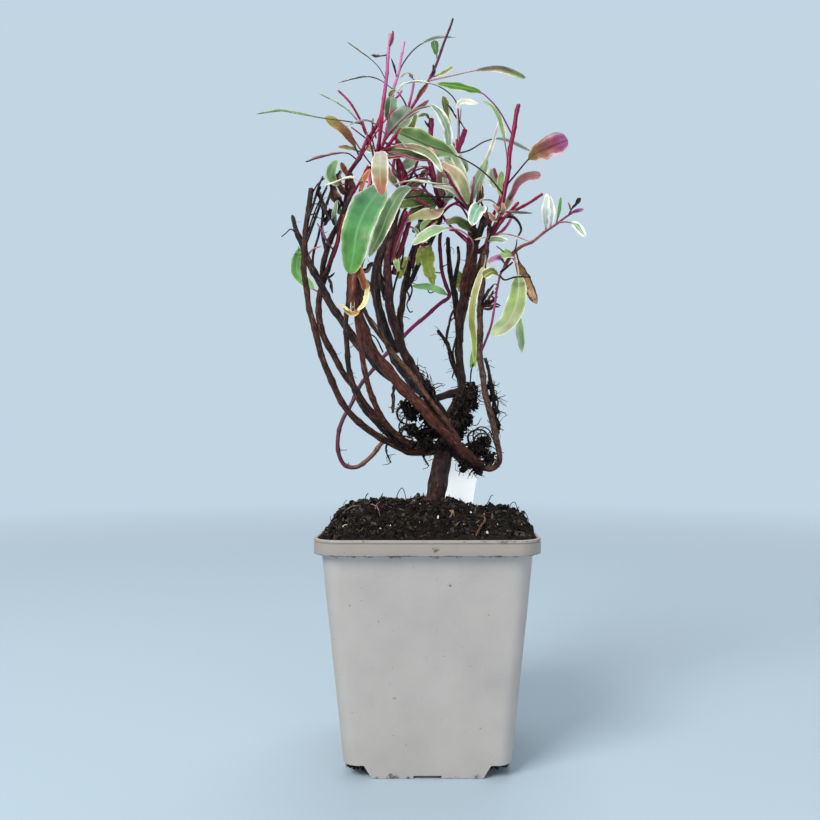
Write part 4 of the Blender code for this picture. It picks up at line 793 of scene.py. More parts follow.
stems = tableOf("""
trunk trunk trunk 4.1 2.6; 430 534 0, 433 512 0, 437 488 0, 441 468 0, 445 448 0, 449 428 1, 456 408 3,
    462 392 4
crownLeft trunk crown 2.6 1.8; 445 446 0, 432 450 0, 418 451 0
crownNeck trunk crown 2.9 2.2; 450 430 1, 440 414 1, 431 399 1
crownBridge trunk crown 1.6 1.5; 432 400 1, 446 395 2, 463 390 4
crownRight trunk crown 3 2; 447 440 0, 461 455 0, 476 464 0, 484 466 0
outerLeft left_bough brown 1.35 1.05; 424 452 -2, 408 451 -6, 385 440 -10, 354 418 -13, 331 380 -15,
    316 335 -15, 307 295 -12, 304 262 -10, 306 230 -8, 309 205 -6, 312 188 -5
innerLeft left_bough dark 1.2 0.8; 408 449 -7, 396 440 -12, 385 431 -16, 365 410 -21, 352 382 -24,
    347 350 -25, 346 325 -25, 348 300 -24, 350 280 -22, 351 264 -20
frontLeft left_bough redBrown 1.15 0.95; 410 446 -8, 398 437 -15, 385 422 -19, 372 398 -23, 366 375 -25,
    361 350 -26, 358 325 -26, 357 303 -25, 358 282 -23, 361 262 -20, 365 244 -17
leftProng left_bough black 0.6 0.45; 306 243 -9, 315 219 -7, 322 198 -5, 327 187 -4
leftProngThin left_bough black 0.5 0.4; 307 222 -8, 314 203 -9, 318 188 -10, 323 176 -10
secondLeft second_bough brown 1.45 1.1; 424 444 4, 408 443 5, 384 428 6, 352 385 5, 333 355 4, 320 325 3,
    319 303 4, 322 283 6, 324 262 6, 329 243 5, 338 225 4, 345 207 3, 348 192 2
secondTwig second_bough black 0.7 0.5; 326 252 6, 322 231 9, 324 212 11, 329 197 12, 333 184 12
secondSpur second_bough black 0.6 0.45; 321 290 5, 314 272 8, 313 256 9, 318 238 9, 320 226 9
main main_bough redBrown 2.3 1.6; 481 464 -2, 470 456 -6, 455 443 -9, 430 417 -13, 405 390 -14, 385 368 -14,
    370 345 -13, 361 322 -12, 356 300 -11, 354 280 -10, 354 258 -9, 357 235 -8, 363 210 -7, 367 194 -7
diagonal main_bough driedTip 1.8 1.2; 408 391 -13, 396 380 -9, 380 368 -6, 352 336 -5, 330 302 -4, 313 270 -2,
    304 250 1, 297 232 2, 292 215 3
thinLeft main_bough tan 0.95 0.75; 459 441 -8, 443 417 -12, 426 394 -13, 407 369 -11, 390 349 -9, 376 330 -6,
    365 312 -4, 361 295 -3, 362 275 -2
middle middle_bough wine 2 1.4; 431 401 1, 420 384 2, 408 360 1, 397 335 -1, 391 310 -3, 388 285 -4,
    388 262 -4, 391 240 -4, 395 220 -3, 397 207 -2
backLeft middle_bough wine 1.7 1.2; 428 396 3, 415 386 8, 400 368 13, 388 345 17, 380 318 19, 374 288 20,
    376 264 20, 385 244 19, 392 226 17, 399 208 14
fork middle_bough wine 1.5 1; 401 345 0, 400 320 6, 402 303 10, 404 290 12, 407 275 14, 411 258 14,
    415 246 13, 419 230 11, 422 212 9
forkRight middle_bough dark 1 1; 403 294 12, 412 278 10, 420 262 7, 429 245 4, 437 228 1, 440 218 0
darkBack middle_bough black 1.5 1; 397 352 15, 386 330 11, 379 302 9, 377 278 9, 382 256 9, 389 236 9,
    391 222 8
darkRedFork middle_bough maroon 1.1 0.9; 406 276 14, 412 262 17, 421 249 17, 430 238 16
loop loop_stem loop 0.95 0.75; 429 446 3, 418 448 8, 405 446 13, 386 441 16, 372 455 17, 358 467 18,
    345 465 18, 338 450 18, 338 435 18, 343 420 18, 352 402 19, 364 380 21, 376 366 23, 390 350 25,
    403 337 25, 420 321 22, 440 304 18, 449 296 15, 446 285 13, 441 265 11, 440 243 8, 441 231 6
rightDead right_bough black 1.9 0.85; 462 396 4, 460 365 5, 459 340 6, 458 318 7, 455 300 8, 452 282 10,
    450 268 11, 448 252 12, 448 237 13
right right_bough redBrown 2.1 1.8; 459 326 6, 463 302 3, 467 280 1, 471 258 0, 473 240 0, 473 226 0
rightSnag right_bough black 1 0.5; 459 378 5, 452 362 4, 449 349 3, 443 338 2, 437 330 1
rightWisp right_bough black 0.5 0.4; 456 306 8, 451 316 9, 448 330 9, 446 343 8
farRight far_right_stem greyBrown 1.2 1.2; 478 466 0, 492 468 -2, 499 459 -5, 498 445 -7, 493 425 -9,
    488 405 -10, 483 380 -10, 480 352 -9, 480 325 -8, 481 300 -8, 482 280 -8, 484 262 -8, 487 248 -8
purple far_right_stem purple 0.48 0.42; 480 354 -9, 486 340 -12, 491 325 -15, 495 305 -17, 497 290 -17,
    500 275 -16, 506 265 -13
leftShoot left_shoot leftShoot 0.9 0.6; 348 195 2, 347 184 2, 350 172 0, 360 156 -3, 367 143 -5, 374 130 -7,
    380 118 -8, 384 100 -8, 386 80 -8, 388 60 -8, 390 33 -7
leftTwig left_shoot maroon 0.5 0.4; 370 138 -6, 365 132 -10, 361 121 -12, 351 104 -12, 338 90 -11
leftCrimson second_bough wine 1 0.8; 322 286 6, 330 263 2, 337 244 0, 340 225 -1, 347 203 -2, 355 186 -3
pinkShoot pink_shoot pink 0.78 0.5; 366 198 -7, 375 166 -7, 379 153 -6, 384 140 -3, 389 120 1, 392 103 3,
    394 88 4, 398 74 4, 401 60 5, 404 41 6
redSpur pink_shoot bright 0.65 0.5; 379 155 -7, 380 140 -12, 382 122 -14, 382 105 -14
redHanger pink_shoot bright 0.6 0.5; 375 166 -7, 366 170 -9, 362 185 -10, 360 203 -10
darkRedBack tall_shoot maroon 0.7 0.6; 400 180 4, 393 170 10, 396 150 13, 397 128 14
tallShoot tall_shoot tall 1 0.42; 397 210 -2, 402 190 2, 400 175 5, 397 155 7, 398 133 8, 405 117 8,
    415 102 6, 425 88 4, 431 76 3, 437 62 2, 443 46 1, 449 30 0, 453 18 0
tallSide tall_shoot pink 0.55 0.5; 403 120 8, 409 106 11, 412 92 13, 414 79 13
centreShoot centre_shoot crimson 1 1.05; 440 222 0, 441 211 1, 439 198 3, 435 182 5, 431 166 7, 429 150 9,
    430 135 10, 432 118 11
centreFront centre_shoot crimson 0.9 0.8; 441 209 1, 444 199 -3, 447 188 -7
centreBack centre_shoot maroon 0.75 0.6; 440 206 2, 448 196 9, 456 183 13, 461 166 17
centreReach centre_shoot maroon 0.6 0.5; 441 208 1, 433 199 -3, 421 184 -4, 413 170 -3
stubTwin stub_shoot crimson 0.7 0.6; 458 166 9, 458 152 7, 457 139 7
stubLow stub_shoot crimson 0.8 0.6; 471 212 0, 460 203 2, 449 192 6, 438 187 9
stubShoot stub_shoot crimson 1.2 1.1; 473 229 0, 473 219 0, 470 207 0, 465 188 5, 460 170 9, 458 154 11,
    461 141 12, 465 129 13
rightShoot right_shoot crimson 1 0.85; 487 252 -8, 488 241 -8, 494 229 -8, 500 215 -8, 503 200 -7, 507 180 -6,
    509 160 -4, 512 140 -2, 515 122 0, 519 104 2
rightSide right_shoot maroon 0.7 0.6; 496 224 -8, 504 218 -4, 515 211 0, 530 202 4, 543 194 7
rightSecond right_shoot maroon 0.75 0.6; 488 240 -8, 489 226 -3, 495 212 1, 500 198 2, 498 182 3, 494 168 4
rightLow right_shoot pink 0.65 0.5; 490 238 -8, 503 230 -4, 511 218 -3, 516 203 -2
endTwig end_twig endTwig 0.8 0.4; 505 268 -13, 508 261 -12, 514 253 -11, 522 246 -9, 533 241 -6, 545 232 -3,
    556 224 0, 566 217 2, 574 212 3
crossOne left_shoot bright 0.34 0.28; 355 163 -4, 364 152 -14, 376 133 -16, 394 109 -14
crossTwo pink_shoot bright 0.42 0.35; 375 168 -8, 372 150 -13, 367 135 -15, 362 119 -16
crossThree pink_shoot bright 0.5 0.42; 375 166 -8, 377 150 -14, 379 135 -16, 380 117 -16
crossFour pink_shoot bright 0.75 0.6; 380 158 -7, 387 148 -12, 394 138 -14, 401 128 -13
crossFive tall_shoot bright 0.6 0.5; 398 176 4, 397 155 -2, 397 140 -4, 396 127 -4
hatchOne left_shoot maroon 0.32 0.25; 369 141 -9, 360 134 -14, 351 127 -15
hatchThree left_shoot maroon 0.32 0.25; 376 138 -8, 374 129 -14, 371 120 -16
hatchFour left_shoot leafStalk 0.3 0.25; 356 163 -4, 362 148 -14, 368 132 -18
pinkPost left_shoot bright 0.6 0.45; 349 199 0, 356 189 -7, 362 178 -11, 368 165 -13
pinkFork second_bough blush 0.36 0.26; 333 250 3, 326 240 -3, 322 231 -5, 317 223 -6
crimsonTwo second_bough maroon 0.7 0.5; 324 275 5, 335 252 -2, 340 234 -4, 344 214 -5
prongFork left_bough black 0.32 0.22; 313 192 -5, 318 184 -8, 325 178 -10
thinDry left_bough black 0.34 0.25; 308 232 -7, 314 214 -11, 320 200 -13, 328 184 -14
drySpur left_bough black 0.25 0.18; 311 204 -6, 315 204 -10, 320 203 -11
drySpurTwo left_bough black 0.25 0.18; 311 215 -6, 314 214 -10, 318 217 -11
leftHook main_bough black 0.3 0.2; 297 234 2, 291 229 0, 286 233 -1, 281 237 -1
darkTwig tall_shoot black 0.36 0.26; 409 112 7, 404 101 8, 398 92 7
pinkStub pink_shoot hot 0.5 0.45; 393 100 4, 398 96 6, 402 90 6
backPink stub_shoot leafStalk 0.4 0.3; 460 172 8, 455 150 12, 449 128 14, 447 116 14
palePost stub_shoot leafStalk 0.35 0.28; 459 160 10, 458 138 14, 460 118 15, 461 108 15
arcOne centre_shoot maroon 0.4 0.3; 436 184 4, 428 169 -6, 417 170 -9, 406 178 -10, 400 188 -10
arcTwo centre_shoot black 0.34 0.26; 437 190 4, 429 175 -3, 418 175 -6, 405 181 -7
arcThree centre_shoot black 0.36 0.28; 470 206 0, 458 198 -8, 440 197 -12, 420 196 -13, 400 199 -14
arcFour centre_shoot maroon 0.45 0.32; 441 208 0, 434 197 -6, 423 191 -9, 405 191 -10
redPost stub_shoot crimson 0.65 0.5; 471 212 0, 468 200 -5, 467 184 -6
redCross stub_shoot crimson 0.55 0.45; 471 214 0, 461 197 -14, 452 184 -19, 445 171 -21
hotCross centre_shoot hot 0.5 0.4; 441 210 0, 448 200 -4, 452 188 -5, 445 178 -6
lowRed centre_shoot crimson 0.7 0.6; 441 214 0, 432 222 -4, 424 232 -6, 421 246 -5
lowRedTwo centre_shoot crimson 0.6 0.5; 441 215 0, 450 206 -6, 462 201 -8
purplePost middle_bough maroon 1.05 0.85; 393 274 -2, 398 256 -5, 405 238 -8, 411 212 -8
purplePostTwo middle_bough maroon 1 0.8; 391 264 -3, 395 248 -7, 401 230 -10, 407 211 -11
darkPost middle_bough maroon 0.6 0.5; 413 268 14, 417 250 8, 424 236 6, 432 224 4
rightCurl right_shoot black 0.6 0.4; 504 217 -8, 513 217 -9, 519 223 -9, 521 230 -9, 518 236 -9
rightSpike end_twig black 0.36 0.22; 514 253 -11, 516 246 -13, 517 239 -13
rightThread end_twig black 0.25 0.18; 509 259 -13, 504 252 -16, 496 246 -18
hangTwig far_right_stem black 0.38 0.28; 500 276 -16, 505 280 -19, 516 277 -22, 531 277 -22
blueStub far_right_stem black 0.5 0.35; 501 272 -16, 506 268 -19, 513 262 -20
deadTwin right_bough black 0.95 0.6; 453 288 10, 456 272 7, 459 258 6, 458 246 6
lowTwig right_bough black 0.3 0.2; 457 316 7, 450 322 4, 446 336 3, 450 345 3
redSide right_bough wine 1.15 0.8; 461 342 5, 462 304 1.4, 465 280 0.4, 468 256 -0.4, 471 236 -1
redUp right_bough crimson 0.5 0.4; 473 250 0, 468 240 -8, 458 232 -12, 449 230 -13
curlOne far_right_stem black 0.24 0.18; 481 306 -8, 486 296 -14, 491 287 -15, 496 284 -15, 497 290 -15,
    492 295 -15
curlTwo far_right_stem black 0.24 0.18; 481 308 -8, 487 302 -14, 493 300 -15, 497 293 -15, 495 288 -14
mainSpur main_bough black 0.35 0.22; 383 352 -5, 376 338 -12, 368 334 -13, 364 338 -13
mainSpurTwo main_bough black 0.3 0.2; 364 312 -10, 374 322 -13, 381 334 -12
paleFork left_bough leafStalk 0.4 0.3; 307 256 -8, 313 249 -11, 321 246 -12
forkUp right_bough brown 1.35 1.2; 469 296 1, 474 277 -2, 481 262 -5, 486 247 -7
hookOne loop_stem black 0.28 0.2; 441 273 11, 435 272 4, 428 268 2, 427 272 2
hookTwo loop_stem black 0.28 0.2; 440 268 11, 446 265 5, 452 262 3
darkCross middle_bough black 0.5 0.35; 391 300 8, 396 280 4, 402 262 2, 404 246 2
darkCrossTwo middle_bough black 0.4 0.3; 407 275 13, 400 266 6, 395 254 3, 398 244 2
forkTwo second_bough blush 0.26 0.2; 329 244 0, 325 236 -5, 323 228 -6, 324 222 -6
knotOne right_bough black 1.5 1; 475 244 -4, 480 232 -6, 484 218 -8, 486 206 -8
knotTwo right_bough dark 0.9 0.5; 478 252 -4, 486 244 -8, 491 236 -9, 490 224 -9
knotThree right_bough black 0.5 0.35; 476 236 -4, 470 228 -10, 468 216 -12
hashOne stub_shoot crimson 0.5 0.4; 473 226 0, 466 214 -8, 461 207 -11, 455 204 -12
hashTwo stub_shoot hot 0.4 0.32; 473 228 0, 462 222 -8, 450 219 -11, 444 222 -12
hashThree centre_shoot crimson 0.55 0.42; 441 213 1, 447 222 -8, 456 232 -10, 468 243 -10
hashFour centre_shoot maroon 0.7 0.5; 440 222 0, 432 212 -5, 424 204 -7, 414 199 -8
hashFive tall_shoot crimson 0.6 0.45; 400 196 2, 407 184 -4, 413 172 -6, 418 160 -6
hashSix tall_shoot maroon 0.8 0.6; 400 200 2, 403 184 -6, 403 170 -8, 398 158 -8
hashSeven tall_shoot hot 0.4 0.3; 400 196 2, 412 186 -5, 424 177 -7, 432 167 -8
hashEight centre_shoot crimson 0.8 0.65; 441 206 1, 436 192 -6, 432 178 -8, 430 165 -8
hashNine middle_bough tan 0.7 0.5; 396 240 0, 402 216 2, 412 196 2, 421 176 2
hashTen middle_bough dry 0.4 0.3; 398 236 0, 410 212 0, 424 190 0, 428 170 0
lilacPost stub_shoot blush 0.5 0.4; 472 214 0, 472 200 -2, 473 188 -3, 474 176 -3
deadUp right_shoot black 0.5 0.35; 489 226 -7, 485 212 -9, 480 199 -9, 480 190 -9
rightDark right_shoot maroon 0.75 0.6; 489 242 -8, 496 230 -10, 506 216 -10, 519 202 -9
tipTwig far_right_stem black 0.34 0.26; 482 352 -9, 474 362 -8, 471 372 -6, 470 387 -4
tipTwigTwo far_right_stem black 0.4 0.3; 481 352 -9, 476 338 -8, 472 328 -6, 470 322 -5
underHook middle_bough black 0.36 0.26; 404 286 12, 409 296 6, 407 305 4, 410 312 4, 413 311 4
crackOne middle_bough black 0.45 0.3; 389 290 0, 382 276 -5, 376 262 -7, 380 250 -8
crackTwo middle_bough dark 1 0.7; 386 300 -2, 381 280 -4, 380 262 -5, 385 244 -5
loopTwig loop_stem black 0.3 0.2; 437 290 12, 430 293 8, 427 288 7, 425 283 7
thinOne pink_shoot maroon 0.3 0.24; 374 168 -8, 366 158 -12, 358 146 -14, 352 136 -14
thinTwo pink_shoot crimson 0.34 0.26; 378 158 -8, 374 146 -12, 372 134 -13, 373 118 -13
thinThree pink_shoot blush 0.3 0.24; 382 148 -6, 386 134 -10, 389 120 -11, 390 108 -11
thinFour tall_shoot maroon 0.32 0.24; 399 176 3, 392 166 -8, 386 160 -12, 376 158 -14
thinFive centre_shoot blush 0.3 0.24; 439 190 4, 430 180 -4, 420 178 -8, 410 182 -9, 402 190 -9
thinSix stub_shoot crimson 0.32 0.24; 471 208 0, 466 196 -8, 458 186 -11, 450 180 -12
lightPost middle_bough blush 0.35 0.28; 392 262 -6, 396 248 -11, 402 232 -13, 408 218 -13
bareOne middle_bough black 0.4 0.3; 409 300 10, 412 290 4, 410 280 2, 413 272 1, 411 262 0
""", 2, placeOf)

# name, what it is made of, and after the semicolon its colours from the foot to the tip
# the bright tone is painted light: a lighter red than crimson, to lift thin shoots that sit in shade among
# the leaves
stemTones = tableOf("""
trunk bark; 140c0a, 33201a, 2c1a15, 20130f, 100908, 0d0706
crown bark; 20130e, 120b09
brown bark; 36170f, 441f17, 321515
dark bark; 241212, 200f10, 190c0d
redBrown bark; 4a2218, 5e2d1e, 56271f, 3e1c1a
tan bark; 644230, 7a543e, 40211c
driedTip bark; 301612, 281212, 1e0e0f, 0a0606
black bark; 150d0c, 120b0b, 0d0808
greyBrown bark; 4a342e, 6a5048, 5c443e
dry bark; 8a7058, 6a5240
wine bark; 241311, 3c1b19, 4c222c, 602c42
maroon skin; 460e1c, 741030, 921a46
loop skin; 3a2018, 8a6a58, 4e2234, 5c3c48, 643850, 983066, 84204c, 4e1430
crimson skin; 4e0624, 780838, 860e46
bright skin; 6a0a30, 920e40, a21a50
pink skin; 7c0e3c, a42864, b8649c, c88cbc
leftShoot skin; 4a0c1c, 6a1030, 8e1840, a84c8c, c484b8
tall skin; 86123c, aa1a54, b03078, 6a1c4c, 2c0f22
hot skin; a01444, cc3478, dc6ca4
blush skin; 8a3a5c, b87898
leafStalk skin; a04c6c, b87a8c
purple skin; 6c2c48, 964470, 84365c
endTwig skin; 5a2228, 7c3c3e, 926058, 865058, 7a3450
""", 1, str.strip)

stemSpacing = 0.5
stemLooks = {
    "bark": {"sides": 14, "unevenness": 0.17, "joints": 0.14, "sway": 0.14},
    "skin": {"sides": 12, "unevenness": 0.07, "joints": 0.2, "sway": 0.2}}

# where a stem swells between its two ends, as a share of its length and times the radius
swellings = {
    "main": [(0, 0.75), (0.12, 0.9), (0.28, 0.97), (0.42, 1.1), (0.6, 1.0), (0.8, 0.92), (1, 0.95)],
    "right": [(0, 0.9), (0.5, 1.1), (0.8, 1.15), (1, 0.95)],
    "diagonal": [(0, 1), (0.8, 1), (0.9, 0.92), (1, 0.6)]}
# stems that end cut off
bluntEnds = ("rightShoot", "stubShoot", "centreShoot", "stubLow", "stubTwin", "outerLeft", "secondLeft",
             "frontLeft")


def kindOf(name):
    return stemTones[stems[name][1]][0]


def stemPath(name):
    return smoothPath(placed(stems[name][4]), stemSpacing)


def stemPart(name, seed):
    # the radius goes evenly from the foot's to the tip's, times the swelling there, and rounds off at the end
    node, tone, foot, tip, _ = stems[name]
    kind, tint = stemTones[tone]
    look = stemLooks[kind]
    path = stemPath(name)
    share = np.linspace(0, 1, len(path))
    radius = foot + (tip - foot) * share
    if name in swellings:
        radius = radius * np.interp(share, *zip(*swellings[name]))
    # the end rounds off over one radius, or over a quarter of it where the shoot was cut
    left = (1 - share) * len(path) * stemSpacing / (tip * (0.25 if name in bluntEnds else 1))
    radius = radius * np.sqrt(np.clip(np.minimum(1, left + 0.15), 0, 1))
    sides = look["sides"] if max(foot, tip) > 0.5 else 8
    sway = 0 if node == "trunk" else look["sway"]
    return roundStem(path, radius, sides, tint, look["unevenness"], look["joints"], seed, sway)


def makeStems(bark, skin):
    # one piece of bark and one of skin for each node. The kind of the node's first stem replaces the CAD part
    order = list(stems)
    for node in dict.fromkeys(row[0] for row in stems.values()):
        here = [name for name in order if stems[name][0] == node]
        for kind, material, slot in (("bark", bark, "bark"), ("skin", skin, "red_shoot")):
            parts = [stemPart(name, order.index(name) * 11) for name in here if kindOf(name) == kind]
            if parts:
                slot = "root_crown" if node == "trunk" else slot
                asPiece(f"{node}_{kind}", parts, material, (node,) if kind == kindOf(here[0]) else ())


# Root crown

# a lump of the crown is a place seen from the front, a depth and a radius. Then come the numbers of fine
# roots, crumbs and side roots, how long and how thick the roots are, and the colours
crown = {
    "lumps": [(411, 414, -2, 2.8), (426, 444, -1, 4.0), (412, 430, -1, 2.6), (428, 397, 1, 3.2),
              (436, 430, 1, 4.6), (423, 434, 1, 3.4), (429, 419, 2, 4.0), (431, 407, 1, 3.8),
              (406, 405, -6, 2.0), (418, 408, -4, 2.6), (466, 396, 5, 3.8), (471, 404, 3, 3.0),
              (463, 412, 1, 3.6), (459, 424, 0, 3.4), (462, 402, -1, 2.6), (473, 395, 1, 2.4),
              (470, 388, 2, 2.4), (455, 414, -1, 2.2), (466, 420, 1, 2.6), (425, 384, 2, 1.9),
              (430, 390, 0, 2.1), (419, 377, 3, 1.5), (415, 369, 4, 1.1), (457, 434, 2, 3.8),
              (490, 386, -8, 1.0), (493, 398, -7, 1.2), (496, 411, -6, 1.2), (497, 425, -5, 1.1),
              (464, 466, 0, 2.4), (478, 470, 0, 2.0), (477, 449, 1, 4.6), (484, 442, 1, 3.0),
              (470, 460, 1, 3.8), (489, 458, 1, 3.2), (459, 449, 1, 3.0), (408, 446, 1, 2.4),
              (443, 448, -2, 3.6)],
    "fineRoots": 460, "fineLength": (2, 8), "fineRadius": (0.1, 0.27), "crumbs": 3200,
    "strandRoots": 150, "sideLength": (1.5, 5), "sideRadius": (0.1, 0.18),
    "coreTint": ["060404", "0e0a08"], "crumbTint": ["060606", "0e0d0d", "1e1b1a", "48413b"],
    "endTint": ["1a120e", "33251c"], "rootTints": (
        ["120c0a", "1e1612"], ["1a120e", "3a2a20"], ["2a1d16", "5e4634"], ["45301f", "8a6c4c"])}
# the crown's loose root ends: name, radius, and after the semicolon the places of the route
rootEnds = tableOf("""
leftLow 0.45; 389 438 8, 386 450 8, 391 463 8
middleLow 0.45; 420 450 1, 424 458 0, 429 466 0
rightHoop 0.42; 470 446 1, 468 436 -2, 475 430 -4, 484 431 -4, 488 438 -3, 484 446 1
rightHoopWide 0.36; 472 448 1, 476 436 -3, 486 434 -5, 491 441 -4, 486 449 0
rightHoopHigh 0.3; 476 446 1, 473 434 -2, 480 427 -4, 489 430 -4, 493 440 -3
leftHoop 0.5; 414 424 -1, 402 428 -2, 398 438 -1, 404 450 0
leftHoopHigh 0.5; 404 404 1, 397 412 1, 401 422 1, 412 425 1
leftClimber 0.4; 398 446 0, 402 432 1, 407 420 1, 404 408 1
leftClimberBack 0.34; 412 446 0, 404 440 -1, 399 426 0, 405 414 0, 398 404 0
leftCrossing 0.3; 395 440 0, 404 436 -2, 413 440 -3, 407 448 -3
trunkStrand 0.7; 438 331 3, 447 343 3, 452 356 4, 458 374 4
curtain 0.6; 485 358 -9, 489 372 -8, 490 388 -8, 495 404 -7, 496 420 -6, 498 436 -5
curtainSecond 0.5; 487 366 -8, 491 380 -9, 494 394 -8, 493 410 -6, 499 424 -5, 497 440 -4
curtainThird 0.4; 489 384 -7, 493 392 -9, 498 402 -8, 496 416 -7, 500 430 -5
trunkStrandSecond 0.4; 456 338 4, 453 352 3, 455 366 3, 452 378 3
""", 0, placeOf)

# how many short dry spurs and fibres stick to each stem, and their colours
litter = {
    "outerLeft": 16, "innerLeft": 10, "frontLeft": 12, "secondLeft": 16, "main": 22, "diagonal": 14,
    "thinLeft": 8, "middle": 20, "backLeft": 16, "fork": 16, "forkRight": 12, "darkBack": 18, "rightDead": 26,
    "right": 12, "farRight": 18, "leftProng": 6, "secondTwig": 8, "centreShoot": 8, "stubShoot": 8,
    "rightSnag": 8, "loop": 6}
litterTints = (["120d0c", "241a16"], ["2a1d18", "4a362a"])
litterLength, litterRadius = (0.7, 4.2), (0.1, 0.22)


def curlyRoot(chance, start, away, length, radius, tint, curl):
    # a hair root: its direction starts away from the crown, wanders, and bends down a little
    steps = max(6, int(length / 0.6))
    push = np.cumsum(chance.normal(0, curl, (steps, 3)), axis=0) + [0, 0, -0.15]
    path = start + np.cumsum(unitRows(away + push) * length / steps, axis=0)
    path = np.vstack([start, path])
    share = np.linspace(1, 0.5, len(path))
    return roundStem(path, radius * share, 4, tint, unevenness=0.1, seed=int(chance.integers(99)))


def makeCrown(bark, earth):
    # round lumps with crumbs of earth stuck to them, the root ends, and fine roots that stand out all round
    chance = np.random.default_rng(17)
    rows = np.array(crown["lumps"], float)
    centres, radii = placed(rows[:, :3]), rows[:, 3]
    core = lumps(centres, radii * 0.7, 18, crown["coreTint"], splits=3, unevenness=0.16, flatness=(0.7, 1.1))
    pick = chance.integers(0, len(centres), crown["crumbs"])
    away = unitRows(chance.normal(size=(len(pick), 3)))
    reach = chance.uniform(0.55, 1.0, len(pick)) ** 0.7
    spots = centres[pick] + away * (radii[pick] * reach)[:, None]
    sizes = 0.2 + 0.9 * chance.uniform(0, 1, len(pick)) ** 2
    crumbs = lumps(spots, sizes, 19, crown["crumbTint"], flatness=(0.35, 1.4))
    asPiece("crown_earth", [core, crumbs], earth)
    roots = []
    for radius, route in rootEnds.values():
        path = smoothPath(placed(route), 0.5)
        thick = radius * np.linspace(1.1, 0.6, len(path))
        roots.append(roundStem(path, thick, 6, crown["endTint"], 0.25))
        # finer roots leave each strand
        for at in chance.integers(0, len(path), crown["strandRoots"] // len(rootEnds)):
            away = unitRows(chance.normal(size=3))
            length, thick = chance.uniform(*crown["sideLength"]), chance.uniform(*crown["sideRadius"])
            roots.append(curlyRoot(chance, path[at], away, length, thick, crown["rootTints"][0], 0.5))
    for _ in range(crown["fineRoots"]):
        at = int(chance.integers(0, len(centres)))
        away = unitRows(chance.normal(size=3) * [1, 1, 0.8])
        start = centres[at] + away * radii[at] * 0.7
        tone = crown["rootTints"][int(chance.choice(4, p=(0.55, 0.33, 0.09, 0.03)))]
        length, thick = chance.uniform(*crown["fineLength"]), chance.uniform(*crown["fineRadius"])
        roots.append(curlyRoot(chance, start, away, length, thick, tone, 0.45))
    asPiece("crown_roots", roots, bark)


def makeLitter(bark):
    # short curly bits on the stems, along the stem and away from it
    chance = np.random.default_rng(23)
    for node in dict.fromkeys(stems[name][0] for name in litter):
        parts = []
        for name in [name for name in litter if stems[name][0] == node]:
            path, thick = stemPath(name), min(stems[name][2:4])
            for _ in range(litter[name]):
                start = path[int(len(path) * chance.uniform(0.12, 0.97))]
                along = unitRows(path[-1] - path[0]) * chance.choice([-1, 1])
                away = unitRows(chance.normal(size=3) * [0.8, 0.8, 0.5] + along)
                tone = litterTints[int(chance.uniform() < 0.3)]
                length = thick + chance.uniform(*litterLength)
                radius = chance.uniform(*litterRadius)
                parts.append(curlyRoot(chance, start + away * thick * 0.5, away, length, radius, tone, 0.42))
        asPiece(f"{node}_litter", parts, bark)


# Leaves

